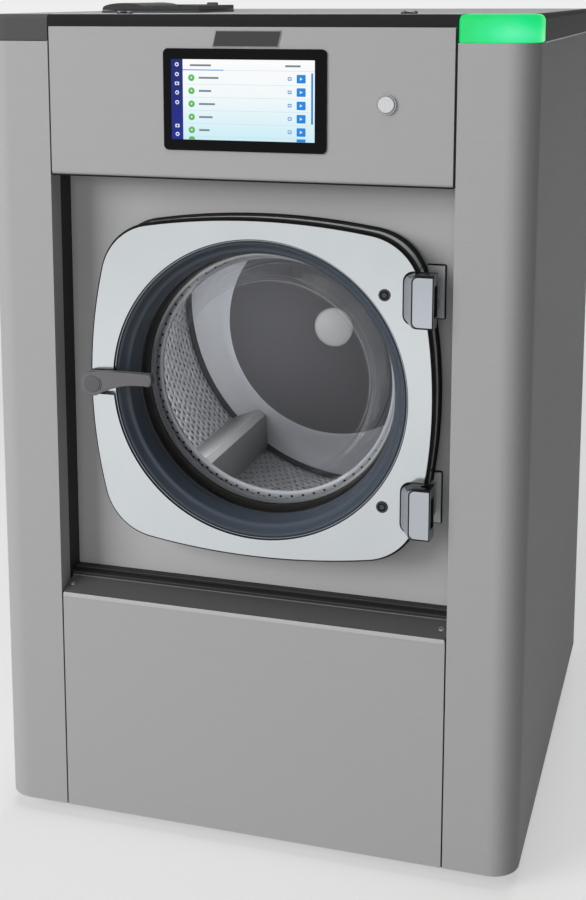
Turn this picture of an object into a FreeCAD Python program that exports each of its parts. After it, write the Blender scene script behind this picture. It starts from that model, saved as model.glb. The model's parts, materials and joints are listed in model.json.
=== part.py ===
"""Washer-extractor: a front-loading laundry machine with a sprung tub.

Millimetres. The origin lies on the floor under the middle of the machine, with +X to the
right as seen from the front, +Y to the back and +Z up.
"""

import FreeCAD
import Part
import Sketcher
import math
import os

doc = FreeCAD.newDocument("washer_extractor")
sheet = doc.addObject("Spreadsheet::Sheet", "Sizes")
nodes = {}


class Dim:
    """A length that keeps its expression in the sheet's cells beside its value."""

    def __init__(self, text, value):
        self.text = text
        self.value = value

    def __add__(self, other):
        other = as_dim(other)
        return Dim(f"({self.text} + {other.text})", self.value + other.value)

    def __sub__(self, other):
        other = as_dim(other)
        return Dim(f"({self.text} - {other.text})", self.value - other.value)

    def __mul__(self, other):
        other = as_dim(other)
        return Dim(f"({self.text} * {other.text})", self.value * other.value)

    def __truediv__(self, other):
        other = as_dim(other)
        return Dim(f"({self.text} / {other.text})", self.value / other.value)

    def __neg__(self):
        return Dim(f"(-1 * {self.text})", -self.value)


def as_dim(thing):
    """A plain number as a length, or the length itself."""
    if isinstance(thing, Dim):
        return thing
    return Dim(f"({float(thing)!r})", float(thing))


def size(alias, value):
    """One driving dimension: a row of the sheet with its alias."""
    row = len(sheet.getUsedCells()) // 2 + 1
    sheet.set(f"A{row}", alias)
    sheet.set(f"B{row}", str(value))
    sheet.setAlias(f"B{row}", alias)
    return Dim(f"Sizes.{alias}", float(value))


# Clearances
running = size("running_clearance", 0.05)
loose = size("loose_clearance", 0.3)

# Cabinet
cabinet_depth = size("cabinet_depth", 912.0)
side_clearance = size("tub_side_clearance", 25.5)
metal = size("sheet_metal", 2.0)
floor_gap = size("floor_gap", 25.0)
corner_radius = size("corner_radius", 45.0)
pillar_return = size("pillar_return", 35.0)
rear_flange = size("rear_flange", 25.0)
panel_gap = size("panel_gap", 2.5)
edge_round = size("panel_edge_round", 6.0)
lower_height = size("lower_panel_height", 386.0)
control_height = size("control_panel_height", 234.0)
band_height = size("top_band_height", 19.0)
band_depth = size("top_band_depth", 20.0)
cap_height = size("top_cap_height", 41.0)
trim_width = size("top_trim_width", 16.0)
trim_round = size("top_trim_round", 8.0)
lens_depth = size("status_lens_depth", 71.0)
lens_wall = size("status_lens_wall", 4.0)
recess_depth = size("recess_depth", 75.0)
recess_margin = size("recess_side_margin", 28.5)
sill_run = size("sill_run", 42.0)
sill_rise = size("sill_rise", 16.0)
trim_strip = size("recess_trim_width", 4.0)
trim_step = size("recess_trim_step", 4.5)
trim_ledge = size("recess_trim_ledge", 15.0)
screw_radius = size("screw_head_radius", 5.0)
screw_head = size("screw_head_height", 2.5)
top_screw_left = size("top_screw_left_inset", 120.0)
top_screw_right = size("top_screw_right_inset", 81.0)
top_screw_inset = size("top_screw_inset", 12.0)
sill_screw_inset = size("sill_screw_inset", 9.0)
vent_width = size("vent_width", 220.0)
vent_height = size("vent_height", 8.0)
vent_pitch = size("vent_pitch", 22.0)
vent_drop = size("vent_drop", 480.0)

# Welded frame and feet
rail_width = size("rail_width", 60.0)
rail_height = size("rail_height", 60.0)
post_side = size("post_side", 40.0)
post_inset = size("post_inset", 24.0)
frame_wall = size("frame_wall", 4.0)
bar_height = size("bar_height", 35.0)
bar_depth = size("bar_depth", 30.0)
bar_offset = size("bar_offset", 5.0)
anchor_inset = size("anchor_inset", 200.0)
anchor_radius = size("anchor_radius", 9.0)
foot_radius = size("foot_radius", 22.0)
foot_pad = size("foot_pad", 10.0)
stem_radius = size("foot_stem_radius", 8.0)
stem_reach = size("foot_stem_reach", 40.0)
nut_radius = size("lock_nut_radius", 14.0)
nut_height = size("lock_nut_height", 8.0)

# Controls
screen_width = size("screen_width", 261.0)
screen_height = size("screen_height", 156.5)
screen_drop = size("screen_drop", 32.5)
screen_round = size("screen_round", 8.0)
screen_glass = size("screen_glass", 2.5)
screen_lap = size("screen_lap", 10.0)
housing_lap = size("display_housing_lap", 8.0)
housing_depth = size("display_housing_depth", 42.0)
button_inset = size("button_inset", 104.5)
button_drop = size("button_drop", 113.0)
button_radius = size("button_radius", 12.6)
button_proud = size("button_proud", 5.0)
button_length = size("button_length", 16.0)
button_room = size("button_room", 6.0)
bezel_radius = size("button_bezel_radius", 15.2)
bezel_proud = size("button_bezel_proud", 3.0)
bezel_wall = size("button_bezel_wall", 1.0)
switch_depth = size("button_switch_depth", 24.0)

# Detergent hopper
hopper_inset = size("hopper_inset", 222.0)
hopper_setback = size("hopper_setback", 262.0)
hopper_width = size("hopper_width", 150.0)
hopper_length = size("hopper_length", 150.0)
hopper_height = size("hopper_height", 120.0)
hopper_wall = size("hopper_wall", 3.0)
hopper_lip = size("hopper_lip", 12.0)
hopper_rim = size("hopper_rim", 4.0)
spout_radius = size("hopper_spout_radius", 25.0)
spout_wall = size("hopper_spout_wall", 4.0)
spout_length = size("hopper_spout_length", 22.0)
lid_thickness = size("lid_thickness", 5.0)
lid_hinge_back = size("lid_hinge_back", 11.0)
lid_knuckle = size("lid_knuckle_radius", 6.0)
lid_knuckle_half = size("lid_knuckle_half", 40.0)
lid_ear = size("lid_ear_width", 18.0)
lid_pin_radius = size("lid_pin_radius", 2.5)
grip_radius = size("lid_grip_radius", 34.0)
grip_height = size("lid_grip_height", 7.0)
grip_offset = size("lid_grip_offset", 36.0)

# Door
door_x = size("door_axis_side", 14.5)
door_half_width = size("door_half_width", 283.0)
door_half_height = size("door_half_height", 275.0)
door_side_radius = size("door_side_radius", 812.0)
door_top_radius = size("door_top_radius", 1134.0)
door_corner = size("door_corner_radius", 95.0)
door_edge = size("door_edge_round", 4.0)
door_low_margin = size("door_low_margin", 95.0)
door_high_margin = size("door_high_margin", 61.0)
door_setback = size("door_setback", 10.0)
door_thickness = size("door_thickness", 58.0)
door_skin = size("door_skin", 14.0)
door_wall = size("door_wall", 6.0)
window_radius = size("window_radius", 244.0)
window_wall = size("window_wall", 8.0)
ring_setback = size("glass_ring_setback", 4.0)
ring_width = size("glass_ring_width", 29.0)
ring_depth = size("glass_ring_depth", 46.0)
ring_step = size("glass_ring_step", 12.0)
glass_lap = size("glass_lap", 20.0)
glass_wall = size("glass_wall", 6.0)
bowl_radius = size("glass_bowl_radius", 164.0)
bowl_depth = size("glass_bowl_depth", 52.0)
bowl_crown = size("glass_bowl_crown", 9.0)
plug_side = size("door_plug_side", 205.0)
plug_rise = size("door_plug_rise", 168.0)
plug_radius = size("door_plug_radius", 9.5)
plug_stem = size("door_plug_stem", 6.0)
plug_proud = size("door_plug_proud", 1.4)

# Door hinges
hinge_rise = size("hinge_rise", 165.3)
hinge_height = size("hinge_height", 82.0)
hinge_inset = size("hinge_pin_inset", 10.5)
hinge_pin_lead = size("hinge_pin_lead", 3.0)
hinge_proud = size("hinge_proud", 20.0)
hinge_left = size("hinge_left", 21.5)
hinge_right = size("hinge_right", 13.5)
hinge_front_wall = size("hinge_front_wall", 5.0)
hinge_cap = size("hinge_cap", 17.0)
hinge_round = size("hinge_round", 8.0)
hinge_flare = size("hinge_flare", 16.5)
hinge_flare_depth = size("hinge_flare_depth", 6.0)
hinge_pin_radius = size("hinge_pin_radius", 5.0)
hinge_barrel = size("hinge_barrel_radius", 10.5)
hinge_arm = size("hinge_arm_half", 6.0)
hinge_plate = size("hinge_plate", 5.0)
hinge_slack = size("hinge_slack", 2.0)

# Handle and latch
handle_inset = size("handle_inset", 9.5)
handle_drop = size("handle_drop", 3.0)
handle_proud = size("handle_proud", 8.0)
hub_radius = size("handle_hub_radius", 20.0)
hub_slack = size("handle_hub_slack", 1.0)
channel_depth = size("handle_channel_depth", 12.0)
lever_length = size("lever_length", 103.0)
lever_thickness = size("lever_thickness", 14.0)
lever_top = size("lever_top", 22.0)
lever_nose = size("lever_nose_radius", 7.0)
lever_bend = size("lever_bend_radius", 144.0)
lever_crown = size("lever_crown_radius", 910.0)
spindle_radius = size("spindle_radius", 6.0)
spindle_boss = size("spindle_boss_radius", 9.0)
cam_plate = size("latch_cam_plate", 4.0)
cam_throw = size("latch_cam_throw", 14.0)
cam_pin_radius = size("latch_pin_radius", 6.0)
cam_pin_reach = size("latch_pin_reach", 14.0)
lock_radius = size("lock_cup_radius", 28.0)
lock_left = size("lock_left", 46.0)
lock_right = size("lock_right", 35.0)
lock_height = size("lock_height", 76.0)
lock_floor = size("lock_floor", 3.0)

# Rubber boot
boot_radius = size("boot_hole_radius", 222.0)
boot_wall = size("boot_wall", 5.0)
boot_flange = size("boot_flange", 9.0)
boot_lip = size("boot_lip", 2.0)
boot_fold = size("boot_fold", 6.0)

# Tub
tub_setback = size("tub_setback", 100.0)
tub_plate = size("tub_plate", 4.0)
tub_gap = size("tub_gap", 32.0)
tub_wall = size("tub_wall", 3.0)
tub_rear_gap = size("tub_rear_gap", 20.0)
tub_back_plate = size("tub_back_plate", 5.0)
tub_hub_gap = size("tub_hub_gap", 25.0)
tub_hub_radius = size("tub_hub_radius", 75.0)
tub_cone_gap = size("tub_cone_gap", 2.0)
collar_gap = size("collar_gap", 9.0)
collar_wall = size("collar_wall", 4.0)
collar_length = size("collar_length", 10.0)
inlet_shy = size("tub_inlet_shy", 12.0)

# Drum
drum_radius = size("drum_radius", 365.0)
drum_wall = size("drum_wall", 2.0)
drum_lip = size("drum_lip_radius", 196.0)
drum_front_gap = size("drum_front_gap", 8.0)
drum_dish = size("drum_dish", 18.0)
drum_length = size("drum_length", 550.0)
drum_back_wall = size("drum_back_wall", 3.0)
drum_back_dish = size("drum_back_dish", 180.0)
drum_disc = size("drum_back_disc_radius", 209.0)
drum_back_rim = size("drum_back_rim", 14.0)
drum_boss = size("drum_boss_radius", 37.0)
drum_boss_rise = size("drum_boss_rise", 4.0)
lifter_height = size("lifter_height", 112.0)
lifter_foot = size("lifter_foot_width", 96.0)
lifter_crest = size("lifter_crest_width", 20.0)
lifter_front_gap = size("lifter_front_gap", 18.0)
lifter_back_gap = size("lifter_back_gap", 135.0)
lifter_wall = size("lifter_wall", 3.0)

# Shaft, bearings and drive
shaft_radius = size("shaft_radius", 30.0)
shaft_nose = size("shaft_nose_radius", 25.0)
shaft_flange = size("shaft_flange_radius", 95.0)
shaft_flange_plate = size("shaft_flange_plate", 12.0)
bearing_radius = size("bearing_radius", 45.0)
bearing_width = size("bearing_width", 30.0)
bearing_inset = size("bearing_inset", 6.0)
housing_radius = size("bearing_housing_radius", 70.0)
housing_flange = size("bearing_flange_radius", 130.0)
housing_flange_plate = size("bearing_flange_plate", 12.0)
housing_length = size("bearing_housing_length", 205.0)
pulley_radius = size("pulley_radius", 170.0)
pulley_gap = size("pulley_gap", 10.0)
pulley_hub = size("pulley_hub_radius", 46.0)
pulley_length = size("pulley_length", 55.0)
pulley_rim_width = size("pulley_rim_width", 40.0)
pulley_rim = size("pulley_rim", 18.0)
pulley_web = size("pulley_web", 12.0)
belt_width = size("belt_width", 30.0)
belt_thickness = size("belt_thickness", 8.0)
motor_side = size("motor_side", 110.0)
motor_drop = size("motor_drop", 180.0)
motor_radius = size("motor_radius", 85.0)
motor_length = size("motor_length", 240.0)
motor_shaft_radius = size("motor_shaft_radius", 15.0)
motor_pulley_radius = size("motor_pulley_radius", 45.0)
motor_bracket_plate = size("motor_bracket_plate", 10.0)
motor_bracket_half = size("motor_bracket_half", 60.0)

# Struts, water and power
strut_side = size("strut_side", 280.0)
strut_front = size("strut_front", 180.0)
strut_spacing = size("strut_spacing", 400.0)
damper_radius = size("damper_radius", 26.0)
damper_height = size("damper_height", 175.0)
damper_floor = size("damper_floor", 25.0)
damper_rod = size("damper_rod_radius", 11.0)
rod_overlap = size("damper_rod_overlap", 80.0)
seat_radius = size("spring_seat_radius", 46.0)
seat_plate = size("spring_seat_plate", 8.0)
spring_outer = size("spring_outer_radius", 44.0)
spring_wire = size("spring_wire", 12.0)
spring_length = size("spring_length", 190.0)
heater_radius = size("heater_radius", 6.0)
heater_spread = size("heater_spread", 70.0)
heater_tail = size("heater_tail", 40.0)
drain_side = size("drain_side", 60.0)
drain_setback = size("drain_setback", 300.0)
drain_neck = size("drain_neck_radius", 38.0)
drain_drop = size("drain_drop", 90.0)
drain_body = size("drain_body", 104.0)
drain_spout = size("drain_spout", 48.0)
drain_wall = size("drain_wall", 5.0)
outlet_inside = size("drain_outlet_inside", 60.0)
rear_reach = size("rear_reach", 20.0)
port_collar = size("port_collar", 4.0)
outlet_flange = size("drain_outlet_flange", 16.0)
flange_plate = size("rear_flange_plate", 6.0)
inlet_spacing = size("water_inlet_spacing", 80.0)
inlet_drop = size("water_inlet_drop", 80.0)
inlet_thread = size("water_inlet_radius", 13.2)
inlet_body = size("water_inlet_body_radius", 24.0)
inlet_length = size("water_inlet_body_length", 70.0)
pipe_radius = size("fill_pipe_radius", 10.0)
gland_inset = size("gland_inset", 112.0)
gland_drop = size("gland_drop", 120.0)
gland_radius = size("gland_radius", 18.0)
gland_bore = size("gland_bore_radius", 9.0)
gland_nut = size("gland_nut_radius", 24.0)
inverter_side = size("inverter_side", 60.0)
inverter_width = size("inverter_width", 180.0)
inverter_depth = size("inverter_depth", 74.0)
inverter_height = size("inverter_height", 240.0)

doc.recompute()

# Planes and lines that the pieces share
front = -cabinet_depth / 2
rear = cabinet_depth / 2
tub_inner = drum_radius + tub_gap
tub_outer = tub_inner + tub_wall
half_width = door_x + tub_outer + side_clearance + metal
recess_half = door_x + door_half_width + recess_margin
lower_top = floor_gap + lower_height
door_z = lower_top + door_low_margin + door_half_height
control_bottom = door_z + door_half_height + door_high_margin
control_top = control_bottom + control_height
top_z = control_top + band_height
cap_bottom = top_z - cap_height
frame_front = front + corner_radius
inner_wall = half_width - metal
rear_inside = rear - metal * 2
panel_y = front + recess_depth
base_top = floor_gap + rail_height
door_face = front + door_setback
door_back = door_face + door_thickness
handle_x = door_x - door_half_width + handle_inset
button_x = recess_half - button_inset
handle_z = door_z - handle_drop
hinge_x = door_x + door_half_width - hinge_inset
hinge_y = front - hinge_pin_lead
tub_y = front + tub_setback
shell_y = tub_y + tub_plate
lip_y = shell_y + drum_front_gap
drum_y = lip_y + drum_dish
drum_end = drum_y + drum_length
disc_y = drum_end - drum_back_dish
tub_end = drum_end + tub_rear_gap
hub_y = disc_y + drum_back_wall + tub_hub_gap
housing_y = hub_y + tub_back_plate
housing_end = housing_y + housing_length
pulley_y = housing_end + pulley_gap
rim_y = pulley_y + (pulley_length - pulley_rim_width) / 2
motor_x = door_x - motor_side
motor_z = door_z - tub_outer - motor_drop
motor_y = housing_end - motor_length
hopper_x = hopper_inset - half_width
hopper_y = front + hopper_setback
gland_x = half_width - gland_inset
strut_top = base_top + damper_height + spring_length
inlet_level = door_z + tub_outer - inlet_shy
drain_x = door_x + drain_side
drain_y = front + drain_setback
drain_z = door_z - tub_outer - drain_drop - drain_body / 2


def bind(obj, **sizes):
    """Ties an object's properties to the sheet."""
    for name, dim in sizes.items():
        obj.setExpression(name, as_dim(dim).text)
    return obj


def put(obj, x, y, z):
    """Ties an object's place to the sheet."""
    for axis, dim in zip("xyz", (x, y, z)):
        obj.setExpression(f"Placement.Base.{axis}", as_dim(dim).text)
    return obj


def turned(kind, axis, angle):
    """A new object turned about an axis before it is placed."""
    obj = doc.addObject(kind, kind.split("::")[1])
    obj.Placement = FreeCAD.Placement(FreeCAD.Vector(), FreeCAD.Rotation(FreeCAD.Vector(*axis), angle))
    return obj


def box(x, y, z):
    """A block between three pairs of planes."""
    obj = doc.addObject("Part::Box", "Box")
    (x, xe), (y, ye), (z, ze) = [[as_dim(end) for end in pair] for pair in (x, y, z)]
    bind(obj, Length=xe - x, Width=ye - y, Height=ze - z)
    return put(obj, x, y, z)


def rod_x(y, z, start, end, radius):
    """A round bar along X."""
    obj = bind(turned("Part::Cylinder", (0, 1, 0), 90), Radius=radius, Height=end - start)
    return put(obj, start, y, z)


def rod_y(x, z, start, end, radius):
    """A round bar along Y."""
    obj = bind(turned("Part::Cylinder", (1, 0, 0), -90), Radius=radius, Height=end - start)
    return put(obj, x, start, z)


def rod_z(x, y, start, end, radius):
    """A round bar along Z."""
    obj = bind(doc.addObject("Part::Cylinder", "Cylinder"), Radius=radius, Height=end - start)
    return put(obj, x, y, start)


def joined(kind, parts):
    obj = doc.addObject(kind, kind.split("::")[1])
    obj.Shapes = list(parts)
    obj.Refine = True
    return obj


def fuse(*parts):
    """Several solids welded into one."""
    return joined("Part::MultiFuse", parts)


def common(*parts):
    """What several solids share."""
    return joined("Part::MultiCommon", parts)


def cut(base, *tools):
    """A solid with other solids taken out of it."""
    obj = doc.addObject("Part::Cut", "Cut")
    obj.Base = base
    obj.Tool = tools[0] if len(tools) == 1 else fuse(*tools)
    obj.Refine = True
    return obj


def group(*parts):
    """Separate solids kept in one node."""
    obj = doc.addObject("Part::Compound", "Group")
    obj.Links = list(parts)
    return obj


def rounded(base, radius, pick):
    """A solid whose picked edges are rounded."""
    doc.recompute()
    edges = [number for number, edge in enumerate(base.Shape.Edges, 1) if pick(edge)]
    obj = doc.addObject("Part::Fillet", "Fillet")
    obj.Base = base
    obj.Edges = [(number, radius.value, radius.value) for number in edges]
    return obj


def near(value, dim):
    """True where a measured coordinate lies on a plane."""
    return abs(value - as_dim(dim).value) < 1e-3


def edge_on(**planes):
    """A picker of the edges that lie in all the given planes."""
    def pick(edge):
        ends = edge.BoundBox
        spans = {"x": (ends.XMin, ends.XMax), "y": (ends.YMin, ends.YMax), "z": (ends.ZMin, ends.ZMax)}
        return all(near(end, dim) for axis, dim in planes.items() for end in spans[axis])
    return pick


def outline(body, plane, points):
    """A closed sketch through points; a third value is the radius of the arc to the next point.

    A positive radius bends the outline to the left and a negative one to the right.
    """
    sketch = body.newObject("Sketcher::SketchObject", body.Name + "Sketch")
    support = [item for item in body.Origin.OriginFeatures if item.Role == plane][0]
    sketch.AttachmentSupport = [(support, "")]
    sketch.MapMode = "FlatFace"
    corners = [FreeCAD.Vector(as_dim(point[0]).value, as_dim(point[1]).value, 0) for point in points]
    starts = []
    ends = []
    for number, point in enumerate(points):
        here = corners[number]
        there = corners[(number + 1) % len(points)]
        if len(point) == 2:
            sketch.addGeometry(Part.LineSegment(here, there), False)
            first = 1
        else:
            radius = point[2].value
            chord = there - here
            side = FreeCAD.Vector(-chord.y, chord.x, 0).normalize() * math.copysign(1, radius)
            reach = math.sqrt(radius ** 2 - (chord.Length / 2) ** 2)
            centre = (here + there) / 2 + side * reach
            angles = [math.atan2(end.y - centre.y, end.x - centre.x) for end in (here, there)]
            if radius < 0:
                angles.reverse()
            circle = Part.Circle(centre, FreeCAD.Vector(0, 0, 1), abs(radius))
            sketch.addGeometry(Part.ArcOfCircle(circle, angles[0], angles[1]), False)
            first = 1 if radius > 0 else 2
        starts.append((number, first))
        ends.append((number, 3 - first))
    for number, point in enumerate(points):
        following = starts[(number + 1) % len(points)]
        sketch.addConstraint(Sketcher.Constraint("Coincident", *ends[number], *following))
        for kind, dim in zip(("DistanceX", "DistanceY"), point):
            constraint = Sketcher.Constraint(kind, -1, 1, *starts[number], as_dim(dim).value)
            index = sketch.addConstraint(constraint)
            sketch.setExpression(f"Constraints[{index}]", as_dim(dim).text)
        if len(point) == 3:
            index = sketch.addConstraint(Sketcher.Constraint("Radius", number, abs(point[2].value)))
            sign = "" if point[2].value > 0 else "-1 * "
            sketch.setExpression(f"Constraints[{index}]", f"{sign}{point[2].text}")
    return sketch


def padded(plane, points, length, place, backwards=False):
    """A body with one outline padded along its plane's normal."""
    body = doc.addObject("PartDesign::Body", "Padded")
    pad = body.newObject("PartDesign::Pad", "Pad")
    pad.Profile = outline(body, plane, points)
    pad.Reversed = backwards
    bind(pad, Length=length)
    return put(body, *place)


def lathe(points, x=door_x, z=door_z):
    """A body turned about a line along Y, from points of place along Y and radius."""
    body = doc.addObject("PartDesign::Body", "Turned")
    turn = body.newObject("PartDesign::Revolution", "Revolution")
    sketch = outline(body, "YZ_Plane", points)
    turn.Profile = sketch
    turn.ReferenceAxis = (sketch, ["H_Axis"])
    turn.Angle = 360
    return put(body, x, 0, z)


def ring(start, end, inner, outer, x=door_x, z=door_z):
    """A plain turned ring."""
    return lathe([(start, inner), (end, inner), (end, outer), (start, outer)], x, z)


def node(name, obj):
    """Names a finished piece."""
    obj.Label = name
    nodes[name] = obj
    return obj


def both(dim):
    """A span to both sides of the middle plane."""
    return (-dim, dim)


def about(centre, half):
    """A span to both sides of a line."""
    return (centre - half, centre + half)


def four_corners():
    """The middles of the base's four corners."""
    side = inner_wall - rail_width / 2
    return [(x, y) for x in both(side) for y in (frame_front + rail_width / 2, rear_inside - rail_width / 2)]


def strut_places():
    """The four struts' axes in plan."""
    sides = about(door_x, strut_side)
    return [(x, front + strut_front + step) for x in sides for step in (as_dim(0), strut_spacing)]


def make_frame():
    """Welded base, uprights and cross bars, and the levelling feet."""
    height = (floor_gap, base_top)
    web = (floor_gap + frame_wall, base_top - frame_wall)
    span = inner_wall - rail_width
    reach = inner_wall - frame_wall
    outer = box(both(inner_wall), (frame_front, rear_inside), height)
    middle = box(both(span), (frame_front + rail_width, rear_inside - rail_width), height)
    channel = box(both(reach), (frame_front + frame_wall, rear_inside - frame_wall), web)
    beams = []
    for step in (as_dim(0), strut_spacing):
        y = front + strut_front + step
        across = about(y, rail_width / 2)
        beam = fuse(box(both(span), across, height), box(both(reach), across, web))
        below = box(both(span), about(y, rail_width / 2 - frame_wall), (floor_gap, base_top - frame_wall))
        beams.append(cut(beam, below))
    holes = []
    for x in both(inner_wall - rail_width / 2):
        for y in (front + anchor_inset, rear - anchor_inset):
            holes.append(rod_z(x, y, floor_gap, base_top, anchor_radius))
    stems = []
    feet = []
    for x, y in four_corners():
        stems.append(rod_z(x, y, floor_gap, base_top, stem_radius + loose))
        pad = rod_z(x, y, as_dim(0), foot_pad, foot_radius)
        stem = rod_z(x, y, foot_pad, floor_gap + stem_reach, stem_radius)
        feet.append(fuse(pad, stem))
        nut = rod_z(x, y, floor_gap - nut_height, floor_gap, nut_radius)
        feet.append(cut(nut, rod_z(x, y, floor_gap - nut_height, floor_gap, stem_radius + running)))
    node("base_frame", cut(fuse(cut(outer, middle, channel), *beams), *holes, *stems))
    node("levelling_feet", group(*feet))

    post = recess_half + post_inset
    reach = post + post_side
    thin = frame_wall
    fronts = []
    rears = []
    for sign in (-1, 1):
        span = sorted((post * sign, reach * sign), key=lambda dim: dim.value)
        bar = box(span, (front + metal, frame_front), (floor_gap, cap_bottom))
        inside = (span[0] + thin, span[1] - thin)
        groove = box(inside, (front + metal + thin, frame_front), (floor_gap, cap_bottom))
        fronts.append(cut(bar, groove))
        span = sorted(((inner_wall - post_side) * sign, inner_wall * sign), key=lambda dim: dim.value)
        back = (rear_inside - post_side, rear_inside)
        bar = box(span, back, (base_top, cap_bottom))
        inside = (span[0] + thin, span[1] - thin)
        groove = box(inside, (back[0], back[1] - thin), (base_top, cap_bottom))
        rears.append(cut(bar, groove))
    low = lower_top - bar_height - bar_offset
    middle_bar = control_bottom + bar_offset
    upper = cap_bottom - bar_height
    for bottom, end in ((low, panel_y), (middle_bar, panel_y), (upper, frame_front + bar_depth)):
        bar = box(both(reach), (frame_front, end), (bottom, bottom + bar_height))
        height = (bottom + thin, bottom + bar_height - thin)
        groove = box(both(reach - thin), (frame_front + thin, end), height)
        fronts.append(cut(bar, groove))
    node("upright_frame", group(*fronts, *rears))


def make_side_panel(name, side):
    """Bent side sheet with its rounded corner pillar, inner return and rear flange."""
    inside = recess_half * side
    outside = half_width * side
    bend = (half_width - corner_radius) * side
    turn = corner_radius * side
    inner_turn = (corner_radius - metal) * -side
    points = [
        (inside, front + pillar_return),
        (inside, front),
        (bend, front, turn),
        (outside, front + corner_radius),
        (outside, rear),
        ((half_width - rear_flange) * side, rear),
        ((half_width - rear_flange) * side, rear - metal),
        (inner_wall * side, rear - metal),
        (inner_wall * side, front + corner_radius, inner_turn),
        (bend, front + metal),
        ((recess_half + metal) * side, front + metal),
        ((recess_half + metal) * side, front + pillar_return),
    ]
    node(name, padded("XY_Plane", points, cap_bottom - floor_gap, (0, 0, floor_gap)))


def tray(low, high, rounded_edge):
    """Front panel bent into a tray, with one of its long front edges rounded."""
    half = recess_half - panel_gap
    outer = box(both(half), (front, frame_front), (low, high))
    outer = rounded(outer, edge_round, edge_on(y=front, z=rounded_edge))
    inner = box(both(half - metal), (front + metal, frame_front), (low + metal, high - metal))
    inner_edge = low + metal if rounded_edge is low else high - metal
    inner = rounded(inner, edge_round - metal, edge_on(y=front + metal, z=inner_edge))
    return cut(outer, inner)


def make_front():
    """Lower panel, sill, recess trim and the recessed door panel."""
    node("lower_panel", tray(floor_gap, lower_top, lower_top))

    half = recess_half - panel_gap
    sill_top = lower_top + sill_rise
    fold = metal * 2
    points = [
        (front, lower_top),
        (front + sill_run, sill_top),
        (panel_y, sill_top),
        (panel_y, sill_top - metal),
        (front + sill_run + metal / 2, sill_top - metal),
        (front + fold, lower_top),
    ]
    node("sill", padded("YZ_Plane", points, half * 2, (-half, 0, 0)))

    screws = []
    for side in (-1, 1):
        head = bind(turned("Part::Cylinder", (1, 0, 0), 1), Radius=screw_radius, Height=screw_head)
        head.setExpression("Placement.Rotation.Angle", f"atan({sill_rise.text} / {sill_run.text})")
        x = (half - sill_screw_inset) * side
        screws.append(put(head, x, front + sill_run / 2, lower_top + sill_rise / 2))
    screw_y = front + band_depth + top_screw_inset
    for x in (top_screw_left - recess_half, recess_half - top_screw_right):
        screws.append(rod_z(x, screw_y, top_z, top_z + screw_head, screw_radius))
    node("panel_screws", group(*screws))

    strips = []
    for side in (-1, 1):
        span = (recess_half, recess_half + trim_strip)
        if side < 0:
            span = (-recess_half - trim_strip, -recess_half)
        strips.append(box(span, (front + pillar_return, panel_y), (sill_top, control_bottom)))
    lower_step = box(both(recess_half), (front + sill_run, panel_y), (sill_top, sill_top + trim_step))
    upper_step = box(both(recess_half), (panel_y - trim_ledge, panel_y),
                     (sill_top + trim_step, sill_top + trim_step * 2))
    node("recess_trim", fuse(*strips, lower_step, upper_step))

    reach = recess_half + post_inset
    low = lower_top - bar_height - bar_offset
    high = control_bottom + bar_offset + bar_height
    plate = box(both(reach), (panel_y, panel_y + metal), (low, high))
    mouth = rod_y(door_x, door_z, panel_y, panel_y + metal, boot_radius)
    latch_hole = rod_y(handle_x, handle_z, panel_y, panel_y + metal, lock_radius)
    node("door_panel", cut(plate, mouth, latch_hole))


def make_rear():
    """Rear panel with its cooling slots and the holes for pipes and cable."""
    sheet_y = (rear_inside, rear - metal)
    plate = box(both(inner_wall), sheet_y, (floor_gap, cap_bottom))
    tools = []
    for row in range(8):
        low = top_z - vent_drop - vent_pitch * row
        tools.append(box(both(vent_width / 2), sheet_y, (low, low + vent_height)))
    for x, z in inlet_places():
        tools.append(rod_y(x, z, *sheet_y, inlet_thread + port_collar + loose))
    tools.append(rod_y(drain_x, drain_z, *sheet_y, drain_neck + port_collar + loose))
    tools.append(rod_y(gland_x, top_z - gland_drop, *sheet_y, gland_radius + loose))
    node("rear_panel", cut(plate, *tools))


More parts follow.
